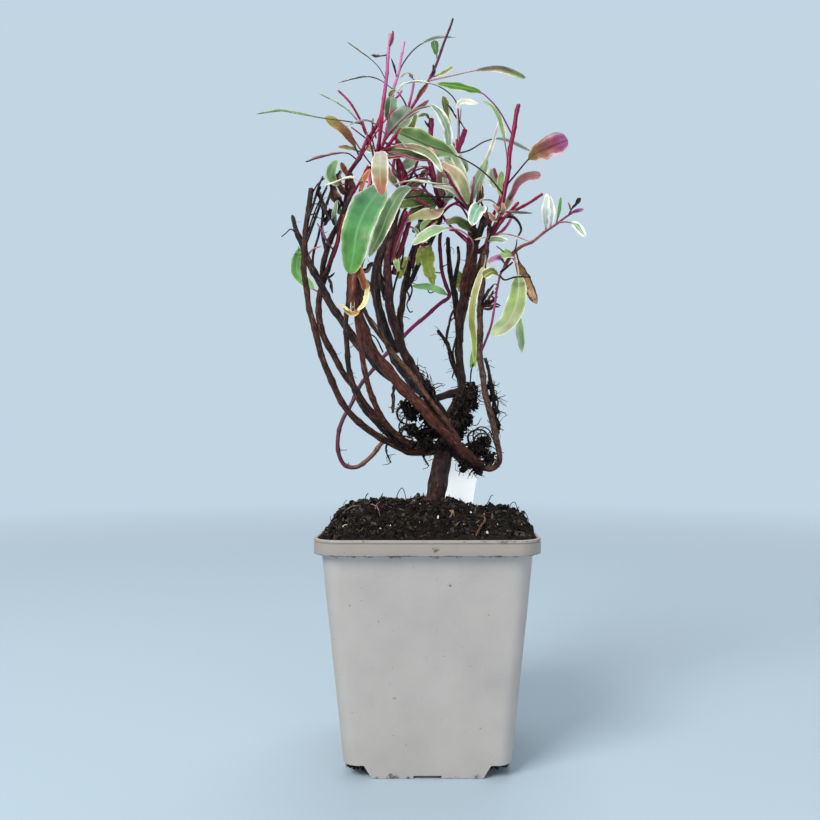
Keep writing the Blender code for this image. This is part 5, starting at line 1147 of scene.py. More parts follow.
# name, node, stem, look, width, turn in degrees, the stalk's share of the length, and after the semicolon the
# route. Its first place is where it leaves the stem, so that one has no depth of its own
leaves = tableOf("""
highLeftBlade left_shoot leftShoot thread 1.2 62 0.4; 386 80, 375 63 -12, 346 41 -18
witheredTag left_shoot leftShoot dead 2.2 40 0.4; 388 55, 380 56 -9, 371 56 -12
bractLeft left_shoot leftShoot bract 1.6 20 0.1; 390 47, 392 40 -10, 393 30 -11
leftRust left_shoot leftShoot rust 4.4 15 0.2; 359 157, 353 143 -9, 343 130 -14, 325 117 -18
farLeft left_shoot leftTwig threadGreen 1.6 40 0.45; 361 124, 345 121 -18, 322 118 -23, 300 114 -25,
    280 111 -26, 256 114 -27
leftRed left_shoot leftShoot mauveBrown 2.6 55 0.25; 357 160, 346 153 -7, 326 156 -11, 305 162 -14
leftSmall left_shoot leftShoot olive 2.4 30 0.25; 362 152, 352 149 -7, 338 147 -10
leftNeedle left_shoot leftTwig archGreen 2.2 60 0.2; 362 127, 345 108 -17, 319 93 -21
leftBright left_shoot leftShoot lime 4.4 10 0.3; 347 184, 338 184 -3, 331 178 -6, 332 169 -8, 337 160 -9
leftTuft left_shoot leftShoot orange 2.8 20 0.1; 348 177, 344 170 -4, 341 162 -6
leftPaleMid left_shoot leftShoot pale 3 15 0.1; 366 146, 371 150 -10, 373 145 -13
highLeftThread pink_shoot pinkShoot thread 1.3 64 0.2; 393 90, 378 79 -2, 362 77 -7, 337 83 -13
bractPink pink_shoot pinkShoot blackBract 1.2 20 0.2; 396 78, 394 67 1, 391 58 -1
archingPale pink_shoot pinkShoot paleTip 1.7 40 0.55; 396 79, 404 62 8, 417 47 11, 434 38 13, 456 37 14
paleFan pink_shoot pinkShoot fanLeft 6 10 0.15; 388 125, 390 112 -4, 391 96 -8
paleFanRight pink_shoot pinkShoot fanRight 8.2 15 0.15; 385 137, 396 124 -6, 411 108 -11
rustySpear pink_shoot pinkShoot spear 2.6 35 0.5; 383 143, 396 127 -12, 412 113 -17, 429 100 -19
underGreen pink_shoot pinkShoot shade 4.4 20 0.2; 382 148, 398 151 -4, 414 156 -5
orangeLeaf pink_shoot pinkShoot orange 3 20 0.2; 374 168, 369 172 -14, 361 191 -19
redSliver pink_shoot pinkShoot bronze 1.6 20 0.2; 374 170, 371 178 -12, 370 193 -15
roseThread pink_shoot pinkShoot roseThread 1.1 50 0.3; 378 156, 400 156 -12, 420 159 -15, 443 162 -17
longBrown tall_shoot tallShoot longBrown 3 30 0.5; 429 81, 450 76 -4, 478 70 -9, 502 69 -12, 526 78 -15
smallFlag tall_shoot tallShoot flagSmall 3.2 20 0.35; 438 60, 436 52 -2, 434 40 -4
oliveTooth tall_shoot tallShoot oliveFold 4.2 20 0.2; 398 140, 409 130 2, 415 113 -1
capLeft tall_shoot tallSide bract 2.4 30 0.1; 414 80, 409 75 9
capRight tall_shoot tallSide oliveFold 2 30 0.2; 414 82, 421 81 9
innerArc centre_shoot centreShoot threadPink 1.8 40 0.4; 432 167, 418 167 -1, 403 177 -4
innerDead centre_shoot centreShoot dead 3 20 0.3; 435 180, 426 172 0, 420 183 -2
oliveLeft centre_shoot centreFront mottled 5.8 14 0.15; 442 207, 436 214 -12, 424 216 -16, 408 219 -18
shadeOlive centre_shoot centreFront shade 5 15 0.2; 443 203, 425 201 -5, 410 203 -7, 396 207 -8
shadeGreen centre_shoot centreShoot green 5 12 0.2; 440 203, 430 206 2, 423 196 1
hook stub_shoot stubShoot hookLeaf 2.2 55 0.55; 459 150, 459 125 8, 456 102 4, 442 88 0, 422 82 -4, 405 84 -7,
    396 94 -9
whiteEdged stub_shoot stubShoot whiteEdged 4.4 20 0.25; 459 165, 450 149 2, 447 130 -2, 440 114 -5, 430 104 -7
foldedOlive stub_shoot stubShoot oliveFold 5 30 0.5; 460 168, 452 150 7, 449 130 7, 445 112 6, 443 96 5
tallPale stub_shoot stubShoot strawWhite 2 25 0.15; 466 193, 474 182 9, 482 168 12, 491 148 14, 499 120 16
bowedBack stub_shoot stubShoot paleTip 2.3 55 0.5; 458 153, 470 150 15, 486 141 18, 504 139 19, 533 152 19
broadInner stub_shoot stubShoot greyGreen 6.4 10 0.15; 461 173, 464 166 2, 457 161 -3, 446 157 -7
overArc stub_shoot stubShoot creamPink 1.5 55 0.3; 470 207, 457 187 -9, 437 184 -16, 412 181 -21, 391 185 -23
pinkishFan stub_shoot stubShoot fan 6.2 18 0.2; 471 210, 465 192 -13, 457 176 -17, 442 164 -20
heart stub_shoot stubShoot heart 5.8 0 0.54; 471 209, 480 207 -17, 477 210 -22, 474 217 -24, 472 226 -27
witheredRight stub_shoot stubShoot dead 2.6 20 0.5; 471 213, 480 201 -5, 481 184 -7
crossingGreen right_shoot rightShoot vivid 3.8 15 0.54; 512 136, 500 112 -8, 488 98 -12, 479 92 -14,
    458 87 -17, 437 84 -19
redSpoon right_shoot rightShoot spoon 3.4 12 0.2; 503 206, 511 197 -14, 517 184 -17, 526 177 -19, 541 175 -21
greenBackRight right_shoot rightShoot lime 3.8 18 0.2; 503 203, 500 190 -1, 502 171 2
greenSideRight right_shoot rightShoot olivePink 3.2 20 0.2; 499 217, 508 202 -12, 513 189 -14
highRightGreen right_shoot rightShoot lime 2.8 28 0.45; 508 170, 506 149 2, 500 122 6, 493 108 6, 483 101 5
thinRight right_shoot rightShoot thread 1.6 50 0.2; 501 212, 516 212 -13, 533 213 -16
pinkArc right_shoot rightShoot threadPink 1 50 0.3; 489 240, 498 234 -15, 512 235 -19, 531 242 -22
lowCreamEdge right_shoot rightShoot pale 2.6 22 0.15; 488 242, 494 239 -15, 509 241 -19
whitePair end_twig endTwig white 3.6 12 0.1; 546 231, 545 212 -8, 547 193 -10
greyPair end_twig endTwig white 2.8 15 0.1; 550 228, 552 212 -2, 549 195 -3
greenSliver end_twig endTwig green 1.8 20 0.2; 556 224, 559 211 2, 561 197 3
tipPink end_twig endTwig mauve 1.8 30 0.3; 566 217, 573 212 0, 584 209 -1
tipBud end_twig endTwig black 2.4 20 0.4; 568 216, 573 207 4, 581 198 5
tipThread end_twig endTwig bronze 1 20 0.2; 571 214, 570 208 5, 568 202 6
whiteDrop end_twig endTwig whiteEdged 3.2 25 0.45; 558 223, 567 222 -4, 576 225 -6, 586 237 -7
greatGreen great_green_leaf pinkShoot great 11.6 0 0.23; 380 172, 381 184 -16, 375 196 -25, 365 211 -31,
    357 231 -34, 354 251 -35, 350 274 -34
frontFlushed flushed_leaf pinkShoot flushed 6.4 0 0.44; 379 156, 381 151 -24, 380 162 -31, 380 177 -35,
    382 195 -38
roseEdged rose_edged_leaf pinkShoot pinkToPale 3.4 35 0.3; 379 154, 392 147 -17, 412 147 -24, 431 155 -28,
    443 172 -30
blueGreen blue_green_leaf centreFront blueGreen 6.2 6 0.38; 442 206, 430 194 -9, 416 188 -16, 402 192 -21,
    390 210 -26, 381 232 -27, 369 257 -27
broadBack broad_green_leaf rightShoot broad 10.4 8 0.53; 504 196, 490 178 -12, 474 165 -15, 452 154 -18,
    428 146 -20, 398 133 -21
rosyFlag rosy_leaf rightShoot flag 8.6 5 0.45; 507 186, 516 174 -10, 531 157 -13, 548 148 -15, 568 140 -16
tanWrap tan_dead_leaf main straw 2 10 0.12; 357 270, 366 282 -24, 367 294 -28, 364 304 -29, 357 311 -29
creamArc cream_leaf pinkShoot creamPink 2.2 45 0.2; 370 182, 360 181 -17, 349 178 -21, 322 187 -26
leftPaleLow pale_left_leaf secondLeft greyGreen 2.6 15 0.1; 342 215, 338 209 0, 337 199 -2
leftRound round_left_leaf secondLeft green 6 10 0.2; 320 293, 311 287 10, 297 270 12, 301 247 12
frontArch front_arch_leaf right archGreen 4.4 14 0.65; 471 256, 473 243 -14, 466 234 -18, 456 229 -20,
    446 228 -21, 431 232 -23, 412 245 -25
darkGreen dark_green_leaf right shade 4.4 8 0.15; 473 232, 467 227 -9, 456 221 -14, 446 224 -15
tornGreen torn_leaf forkRight torn 5 8 0.1; 431 241, 428 252 0, 429 267 -2, 434 285 -3
tornSmall small_torn_leaf fork torn 4.2 15 0.15; 411 256, 404 262 9, 399 279 7
lowGreen low_green_leaf loop lowGreen 3 5 0.15; 450 296, 443 292 8, 430 287 5, 412 286 4
gapGreen gap_green_leaf right torn 4.4 15 0.2; 464 298, 460 286 12, 459 271 14
foldRight folded_right_leaf endTwig lime 4.8 12 0.1; 513 255, 508 254 -15, 500 257 -18
hangingPale hanging_leaf endTwig hanging 7.8 8 0.3; 512 256, 518 268 -17, 518 296 -20, 509 321 -20,
    491 335 -18
hangingSmall small_hanging_leaf endTwig archGreen 3.6 10 0.6; 514 253, 520 290 -11, 519 322 -13, 522 353 -14
deadRight dead_leaf endTwig deadTan 4.8 12 0.15; 516 251, 519 262 -7, 526 280 -9, 537 304 -10
oliveInner olive_leaf purple oliveFold 4.6 18 0.15; 499 276, 492 272 -21, 483 277 -22
purpleInner purple_leaf purple mauve 2.6 20 0.2; 504 264, 499 258 -19, 488 262 -21
longYellow long_yellow_leaf farRight yellow 3 15 0.2; 486 254, 485 263 -14, 480 277 -17, 474 298 -18,
    472 320 -18, 474 340 -17, 475 367 -15
greyFan stub_shoot stubShoot greyGreen 5.4 5 0.12; 471 205, 475 188 4, 481 174 5, 487 159 5
farGreen right_shoot rightSecond greyGreen 4.2 8 0.1; 498 190, 494 184 6, 492 168 6
whiteDown stub_shoot stubShoot whiteEdged 3.4 12 0.2; 455 160, 450 168 -4, 446 178 -6, 448 196 -8
blankEnd stub_shoot stubShoot strawWhite 2.6 20 0.2; 470 207, 462 200 -10, 450 189 -14, 432 186 -17
speckled pink_shoot pinkShoot deadTan 2.6 10 0.1; 392 146, 428 149 -20, 438 156 -21
underLong pink_shoot pinkShoot shade 4.6 12 0.2; 382 150, 396 152 -14, 412 152 -16, 428 160 -17
fillGreen tall_shoot tallShoot shade 5.2 5 0.1; 399 160, 404 140 1, 402 122 0
fillPale tall_shoot tallShoot fanRight 4.6 18 0.1; 400 170, 410 162 2, 424 152 2
greyThread pink_shoot pinkShoot thread 1.2 40 0.3; 384 134, 374 123 -16, 360 121 -19, 345 127 -20
archThread pink_shoot pinkShoot threadPink 1.6 50 0.35; 386 140, 400 122 -17, 415 110 -20, 434 105 -21
pinkSpike pink_shoot redHanger hotSpike 2 10 0.2; 366 170, 363 182 -16, 358 203 -17
redSpike pink_shoot redHanger hotSpike 1.6 20 0.2; 372 166, 370 178 -18, 369 193 -19
forkLeaf tall_shoot tallShoot oliveFold 1.8 10 0.2; 431 78, 442 74 -2, 453 67 -4
maroonFold tall_shoot tallShoot maroonFold 3.2 5 0.1; 416 100, 420 95 4, 428 84 3
tallBract tall_shoot tallShoot blackBract 1.8 5 0.1; 432 78, 434 72 0, 433 64 0
oliveCap pink_shoot pinkShoot oliveFold 2.4 5 0.1; 392 100, 390 95 1, 396 90 0
creamHook pink_shoot tallSide threadPink 1 30 0.1; 414 80, 408 73 8, 400 78 6
whiteWing stub_shoot stubShoot strawWhite 2.6 20 0.6; 459 150, 458 126 4, 457 108 4, 463 101 3, 479 104 2
blackBud centre_shoot centreShoot black 1.6 5 0.1; 430 128, 427 124 7, 424 120 6
darkCurl centre_shoot centreShoot shade 2.2 20 0.2; 431 122, 426 115 8, 418 117 7
budTwo stub_shoot stubShoot black 1.2 5 0.1; 457 120, 449 107 4, 447 103 4
shadeTwo centre_shoot centreShoot shade 4.4 20 0.2; 440 203, 424 207 3, 408 214 2
shadeThree centre_shoot centreShoot olivePink 4 15 0.2; 440 205, 420 196 1, 404 196 0
limeBack centre_shoot centreShoot lime 4.2 5 0.1; 438 212, 427 210 4, 424 196 4
lowDark centre_shoot centreShoot shade 4.6 20 0.2; 441 220, 426 226 2, 412 232 1
paleUnder centre_shoot centreShoot creamPink 2 40 0.3; 441 215, 424 217 -8, 404 223 -12
spotDead stub_shoot stubShoot deadTan 2.2 5 0.2; 476 214, 479 196 -6, 480 182 -7
deadRoll stub_shoot stubShoot dead 3 20 0.1; 486 208, 487 216 -12, 485 228 -12
lumpOne right_shoot rightShoot bractTan 2.6 10 0.1; 503 215, 498 211 -14, 493 204 -15
lumpTwo right_shoot rightShoot bractTan 2.4 10 0.1; 504 218, 503 211 -15, 502 202 -16
lumpThree right_shoot rightShoot bractTan 2.4 10 0.1; 500 222, 494 219 -14, 488 212 -15
thinArc right_shoot rightShoot thread 1.2 30 0.3; 502 212, 495 203 -14, 484 200 -17, 474 206 -18
pinkStar right_shoot rightShoot threadPink 1.2 30 0.3; 492 238, 484 238 -14, 474 240 -16
brownWrap tan_dead_leaf main driedRed 5 5 0.05; 354 262, 354 270 -25, 352 287 -28, 349 304 -28
strawFoot tan_dead_leaf main strawTan 2.4 5 0.1; 361 300, 357 311 -27, 351 314 -28, 343 308 -28
orangeWrap tan_dead_leaf main orange 3.4 5 0.1; 357 264, 359 271 -25, 363 280 -27, 364 291 -27
strawTail tan_dead_leaf main straw 1.2 20 0.1; 352 305, 349 310 -28, 344 307 -28, 337 303 -28
blackScrap main_bough main black 2.8 10 0.2; 356 272, 366 270 -10, 373 262 -9
blackScrapTwo main_bough main black 2.2 10 0.2; 358 295, 366 292 -14, 371 290 -14
leftScrap second_bough secondLeft black 1.8 10 0.2; 324 275, 330 281 1, 333 294 0
leftScrapTwo second_bough secondLeft black 1.3 10 0.2; 324 278, 331 276 1, 335 272 0
driedOne second_bough secondLeft dead 4.6 10 0.1; 343 206, 336 200 -2, 332 188 -3, 335 180 -3
driedTwo second_bough secondTwig black 3 20 0.1; 326 216, 323 212 8, 325 203 8
driedThree second_bough secondTwig black 3 20 0.1; 322 226, 326 222 8, 330 208 8
driedFour second_bough secondLeft dead 3.8 10 0.1; 347 196, 341 190 -1, 338 178 -1, 341 170 -1
greySide second_bough secondLeft greyGreen 2.2 10 0.1; 336 226, 334 216 -3, 337 200 -4
rightDried far_right_stem farRight black 1.3 10 0.2; 481 306, 488 300 -14, 494 290 -14
rightDriedTwo far_right_stem farRight black 1.3 10 0.2; 481 306, 490 306 -14, 500 307 -14
rightDriedThree far_right_stem farRight dead 1.8 10 0.2; 481 308, 488 304 -12, 497 297 -12
smallPurple main_bough main black 2 10 0.15; 397 376, 394 388 -12, 393 414 -13
limeLow torn_leaf forkRight torn 3.2 20 0.1; 428 246, 421 252 2, 418 266 1
yellowTip long_yellow_leaf farRight greenTip 3.4 5 0.1; 480 334, 477 342 -6, 475 354 -7, 471 369 -7
curlLeaf far_right_stem farRight black 1.1 10 0.1; 481 306, 484 298 -14, 489 288 -15
curlLeafTwo far_right_stem farRight black 1 10 0.1; 481 307, 492 302 -15, 498 296 -15
curlLeafThree far_right_stem farRight dead 1.4 10 0.1; 481 307, 487 293 -14, 494 285 -15
redPatch pink_shoot pinkShoot maroonFold 1.4 10 0.2; 380 156, 387 158 -16, 398 157 -19, 411 154 -20
pinkUnder pink_shoot pinkShoot roseThread 0.9 20 0.2; 380 152, 396 153 -20, 420 160 -23, 446 160 -24
mottledTwo centre_shoot centreShoot mottled 5.4 5 0.1; 441 205, 444 170 -8, 455 178 -11, 466 197 -13
limeUnder centre_shoot centreShoot lime 3.6 5 0.1; 441 220, 432 221 -4, 424 227 -5, 427 236 -6
greyLow centre_shoot centreShoot greyGreen 3.2 10 0.2; 441 206, 452 194 -10, 462 186 -12, 466 174 -12
darkShard tall_shoot tallShoot shade 3.6 10 0.1; 400 196, 408 190 -4, 418 182 -6, 428 180 -7
oliveShard tall_shoot tallShoot olivePink 3.2 10 0.1; 400 190, 396 184 -6, 390 176 -9, 386 164 -10
brownShard tall_shoot tallShoot driedRed 2.6 10 0.1; 400 192, 406 182 -5, 404 172 -7, 396 166 -8
limeShard middle_bough purplePost lime 2.8 10 0.1; 404 240, 398 247 -4, 396 258 -5, 399 272 -5
paleShard middle_bough purplePost creamPink 1.6 20 0.1; 408 226, 416 230 -10, 420 238 -11, 428 243 -11
broadLow stub_shoot stubShoot fanRight 6.4 5 0.15; 459 160, 446 146 0, 452 160 -6, 460 176 -8, 466 196 -9
topShade pink_shoot pinkShoot oliveFold 3.4 5 0.1; 384 140, 392 150 -6, 402 152 -8, 412 146 -8
driedFive second_bough secondTwig black 3 20 0.1; 325 216, 322 204 8, 318 192 8, 321 186 8
driedSix second_bough secondLeft black 3.4 10 0.1; 345 200, 338 208 -2, 333 216 -2, 335 226 -2
driedSeven second_bough secondLeft dead 3.2 10 0.1; 348 198, 352 186 -2, 350 172 -3
driedEight left_bough leftProng black 2.2 10 0.1; 320 203, 325 208 -6, 328 218 -6
crispOne far_right_stem farRight driedRed 1.6 10 0.1; 481 308, 487 303 -13, 490 296 -15, 495 299 -15
crispTwo far_right_stem farRight driedRed 1.4 10 0.1; 481 309, 490 309 -13, 495 304 -14, 501 306 -14
scrapThree main_bough main black 1.6 10 0.2; 357 278, 365 279 -12, 369 285 -13, 367 293 -13
""", 3, placeOf)

# name, the margin's share of each half, where the tip's colour starts, how much is dry spots, how far the
# halves fold up in degrees, where it is widest, how pointed and how ragged it is. After the semicolon come
# the colours of its middle, margin, midrib, tip and stalk: several where they change along the blade, with |
# between those of its two halves
# the lowGreen and blueGreen looks are painted light: paler than the leaves are, to lift the shade that leaves
# above and a turn away from the key lamp put on them
leafLooks = tableOf("""
archGreen 0.16 0.94 0 20 0.5 0.6 0.03; a4bc98|8cb880, e8e6d8, 8a9a70, c8ccb0, b07880
black 0.2 0.8 0 40 0.5 0.45 0.6; 241a1a, 2c2022, 1a1214, 141010, 2a1c1c
blackBract 0.2 0.6 0 30 0.4 0.6 0.05; 3c1e30, 4a2a3a, 2a1420, 201018, 6a2040
blueGreen 0.12 0.97 0.01 12 0.5 0.6 0.02; 98ba98 7ca66c 70965c, f4f6e8, a8c898, c8ccb4, 8a6070
bract 0.2 0.8 0.02 30 0.45 0.5 0.08; 8a5058 7a4048, b88088, 5a2a34, 4a2430, 8a2a50
bractTan 0.2 0.9 0.03 30 0.5 0.45 0.15; b08068 c09a80, d8b8a0, 8a4a50, b88a78, a04858
broad 0.06 0.985 0 12 0.66 0.5 0.05; 4a7038 4c7438|7c9e70 88aa80, b4c49c, 3a2028, 5a7c3c, 4a2038
bronze 0.25 0.7 0.03 22 0.5 0.6 0.05; 8a4c4c, a8746a, 6a3038, 55242c, 7a2a40
creamPink 0.5 0.93 0 24 0.5 0.7 0.02; b9b79c, eceede, b89a90, e0e4d4, a8687a
greenTip 0.06 0.98 0 14 0.55 0.6 0.02; 78b444 6cac38, a8cc80, 8cbc5c, 5a9430, 6a8a40
mottled 0.14 0.96 0.03 20 0.5 0.5 0.06; d0a898 bcae8c a8c474, e4d8cc d8dcb8, b87a80, b0c878, a03a58
lowGreen 0.05 0.97 0 10 0.55 0.55 0.02; b8f8a0 a8ec94, a8e098, 90d888, 70b860, 8a3a50
dead 0.3 0.6 0.14 40 0.5 0.5 0.55; 6a4434, 8a6850, 4a3024, 2e201a, 4a3028
deadTan 0.24 0.98 0.2 26 0.62 0.9 0.22; 7a5a3c b89068 dcb498, 4a2c22, 8a6848, a87858, 5a4030
driedRed 0.3 0.8 0.12 40 0.5 0.42 0.15; 6e2c26 84402f, 3a1814, 4a201c, 4a2a20, 6a3028
fan 0.26 0.95 0.02 14 0.55 0.5 0.05; a4c85c b0c478 ccc098 d0a898, f0ead8 e4d0bc, b4b880, b07a78, 9a3a50
fanLeft 0.08 0.97 0 18 0.62 0.42 0.03; 5a8a50|a8c8ac, e8ecdc, c8d4bc, b8c8ac, 8a5a60
fanRight 0.09 0.97 0 16 0.55 0.45 0.04; b4d0b4|98b894, e8ecdc, b8ccb0, b8c8ac, a06a78
flag 0.2 0.8 0.08 10 0.64 0.5 0.2; 7c7434 86543c 8c3c58 8a4474, a88448 b07060 d0a8b0 c8c8b0, 4a1a38, 985090,
    3a1626
flagSmall 0.14 0.9 0 10 0.72 0.42 0.03; 6c9a50, 3f5a3c, 8ab878, 4a6a40, a8b098
flushed 0.13 0.97 0 10 0.5 0.5 0.05; c0c6c0 b8bcac b0b494 98744c 984c48, e4ccd2 ecd4dc ecd8dc d8b0b0,
    b4b8ac a8a890 8a5440, a85860, b05a78
great 0.06 0.99 0 8 0.54 0.5 0.02; 74a68c 58996a 488f4c 54923a, c4d8ac, 62a06c, 5a9a44, b0708a
green 0.1 0.95 0 16 0.5 0.55 0.03; 6cb060, c8d8b0, 8ab078, 6a9a50, 9a5a68
greyGreen 0.2 0.94 0 14 0.5 0.5 0.04; 8cac8c, dbe4d4, a8bca0, c0ccb8, 9a6078
hanging 0.06 0.985 0.06 14 0.5 0.5 0.02; 7c9c5c 88a85c 9cb478 a4c09c|7a9a5c 86a462 98a47c 9aa488, dfe4c8,
    a8ac90, a8c090, c8a890
heart 0.24 0.97 0.01 6 0.36 0.42 0.05; 84b89c, f8faf5, a8ccb4, f0f2ea, 6a4a50
hookLeaf 0.35 0.96 0 24 0.5 0.6 0.02; 8ea894, e4eadf, 6a8470, c8d0c0, 3a2430
hotSpike 0.25 0.95 0 20 0.35 0.6 0.02; 9a3450, c07890, 8a2448, a03050, a02a58
lime 0.16 0.93 0 16 0.5 0.55 0.03; 94c07c, dfe6c4, a0c070, a8c878, a0607a
longBrown 0.3 0.88 0 30 0.6 0.55 0.02; a08878 a09080 8a9068 6f9850, b0a090 c8c0b0 9ab078, 50383c, 4f7a40,
    c0a0a4
maroonFold 0.14 0.96 0.02 40 0.5 0.5 0.05; 7a3434, c8b0a4, 4a1a24, 5a2a30, 7a2440
mauve 0.3 0.6 0 20 0.55 0.55 0.03; 8a3a6c, b07aa0, 6a2a58, a878a0, 7a3050
mauveBrown 0.25 0.85 0.01 34 0.55 0.6 0.04; 8a5060 96606e, c09aa8, 5a2438, 3a2430, 6a2038
olive 0.2 0.6 0.05 18 0.5 0.55 0.05; 78864a, c0a880, 8a7a50, 9a6a48, 8a4a50
oliveFold 0.2 0.97 0.01 30 0.7 0.5 0.04; 70823c 7a8c44, dfe0c4, a8ac70, 8a8a4c, a8687c
olivePink 0.22 0.85 0.02 16 0.5 0.55 0.04; 8b9a62, d0a8a0, 9a8060, a87a70, 9a4a60
orange 0.16 0.9 0.04 22 0.55 0.5 0.1; b06a44 a8603a, c89878, 8a4030, 9a4a3a, 9a3044
pale 0.34 0.93 0 16 0.5 0.6 0.03; 98ba94, e9f0df, b8cba8, d4b8b4, b0788a
paleTip 0.45 0.9 0 20 0.5 0.7 0.02; a8b8ac, e6ece4, 8a9a90, e0e8e0, 4a3440
pinkToPale 0.2 0.95 0.01 20 0.62 0.55 0.03; b87078 a88470 98ac7c 90ac80, d8a0a8 ece0d4 f2f2e8, a89a88 9cb088,
    dfe4d4, a03058
roseThread 0.3 0.9 0 30 0.5 0.7 0.02; 8a3050, c08098, 7a2048, c04a84, 9a2450
rust 0.12 0.97 0.01 20 0.66 0.55 0.03; a87078 b47c58 b88c58 a8b850, d8c8a4 c8a070 b0b858, 9a5a50, a8bc50,
    8a3a50
shade 0.1 0.92 0.03 14 0.5 0.55 0.05; 4a6a32, b8a890, 6a7448, 6a5a3a, 6a3040
spear 0.3 0.96 0.01 24 0.6 0.6 0.02; 9a6460, dcd0c4, b09088, c0a098, a03a58
spoon 0.16 0.94 0.02 16 0.74 0.42 0.03; 74303f 90525a b07c80, b08890, 7c4c54, b88488, 4a1a30
straw 0.3 0.95 0.03 24 0.68 0.55 0.08; d8c878 f0e6a0, f4ecb8, d0c078, e0d490, a88a58
strawTan 0.2 0.95 0.03 30 0.5 0.42 0.15; c8a462 b08a50, e0c890, a88050, c0a060, a88a58
strawWhite 0.6 0.95 0 14 0.5 0.7 0.02; dde3c6, f3f5ea, d0d8b8, f0f0e4, c8b0b8
thread 0.2 0.93 0 30 0.5 0.8 0.02; 6f7468, d9ddd0, 5a4a50, c8ccc0, 5c3046
threadGreen 0.14 0.95 0 30 0.5 0.8 0.02; 6c9464, ccdcb8, 5a7a58, 3c4a38, 6a5a50
threadPink 0.4 0.9 0 20 0.5 0.8 0.02; b08a84, e6e0cc, a06a70, c8c0a8, a04a68
torn 0.05 0.92 0.1 16 0.5 0.56 0.42; 869a3c 98aa4a, ccd094, a0b45c, 6a6a30, 7a5a48
vivid 0.1 0.96 0 14 0.5 0.6 0.03; 528a36, c8d8a0, 8ab860, 8ab858, a8489a
white 0.4 0.95 0.01 14 0.5 0.5 0.04; c0d0c4 d2ded6, f4f8f4, e0e8d8, f0f0ea, a87888
whiteEdged 0.44 0.96 0 16 0.5 0.55 0.03; 9cc0a0, f8faf5, c8d8c4, eef0e6, 9a6a80
yellow 0.16 0.95 0.09 18 0.4 0.45 0.03; b0b488 8e9660 868e48 8ca048 88ac50, e4e8c8 d8deb0 c0c880, 6a5a34,
    b0b870, b0a080
""", 0, str.strip)

# in millimetres, and then the ranges that chance draws from, with the turn, the twist and the fold in degrees
blade = {
    "spacing": 0.6, "around": 20, "thickness": 0.16, "ribRise": 0.09, "ribShare": 0.16, "stalkThickness": 0.3,
    "stalkHalf": 0.38, "edgeWave": 0.14, "waves": 2.4, "cup": 0.12, "crinkle": 0.06, "crinkleSize": 1.7,
    "turnSpread": (-8, 8), "twistSpread": (-14, 14), "foldSpread": (-5, 5), "cupSpread": (-1, 1.4),
    "toneSpread": (-0.12, 0.1), "marginSpread": (0.8, 1.2)}


def footOnStem(stem, seen):
    # the point of the stem's path that is seen nearest to this place
    path = stemPath(stem)
    unit = (view["distance"] + path[:, 1]) / view["focal"]
    across, down = view["across"] + path[:, 0] / unit, view["down"] - (path[:, 2] - view["height"]) / unit
    return path[np.argmin(np.hypot(across - seen[0], down - seen[1]))]


def alongBlade(codes, share, across):
    # colours spread along the blade, with another set on the second half where | divides them
    rows = [text.split() for text in codes.split("|")]
    halves = [colourStops(row * 2 if len(row) == 1 else row, share)[:, None] for row in rows]
    second = np.clip(across / blade["ribShare"] + 0.5, 0, 1)[..., None]
    return halves[0] * (1 - second) + halves[-1] * second


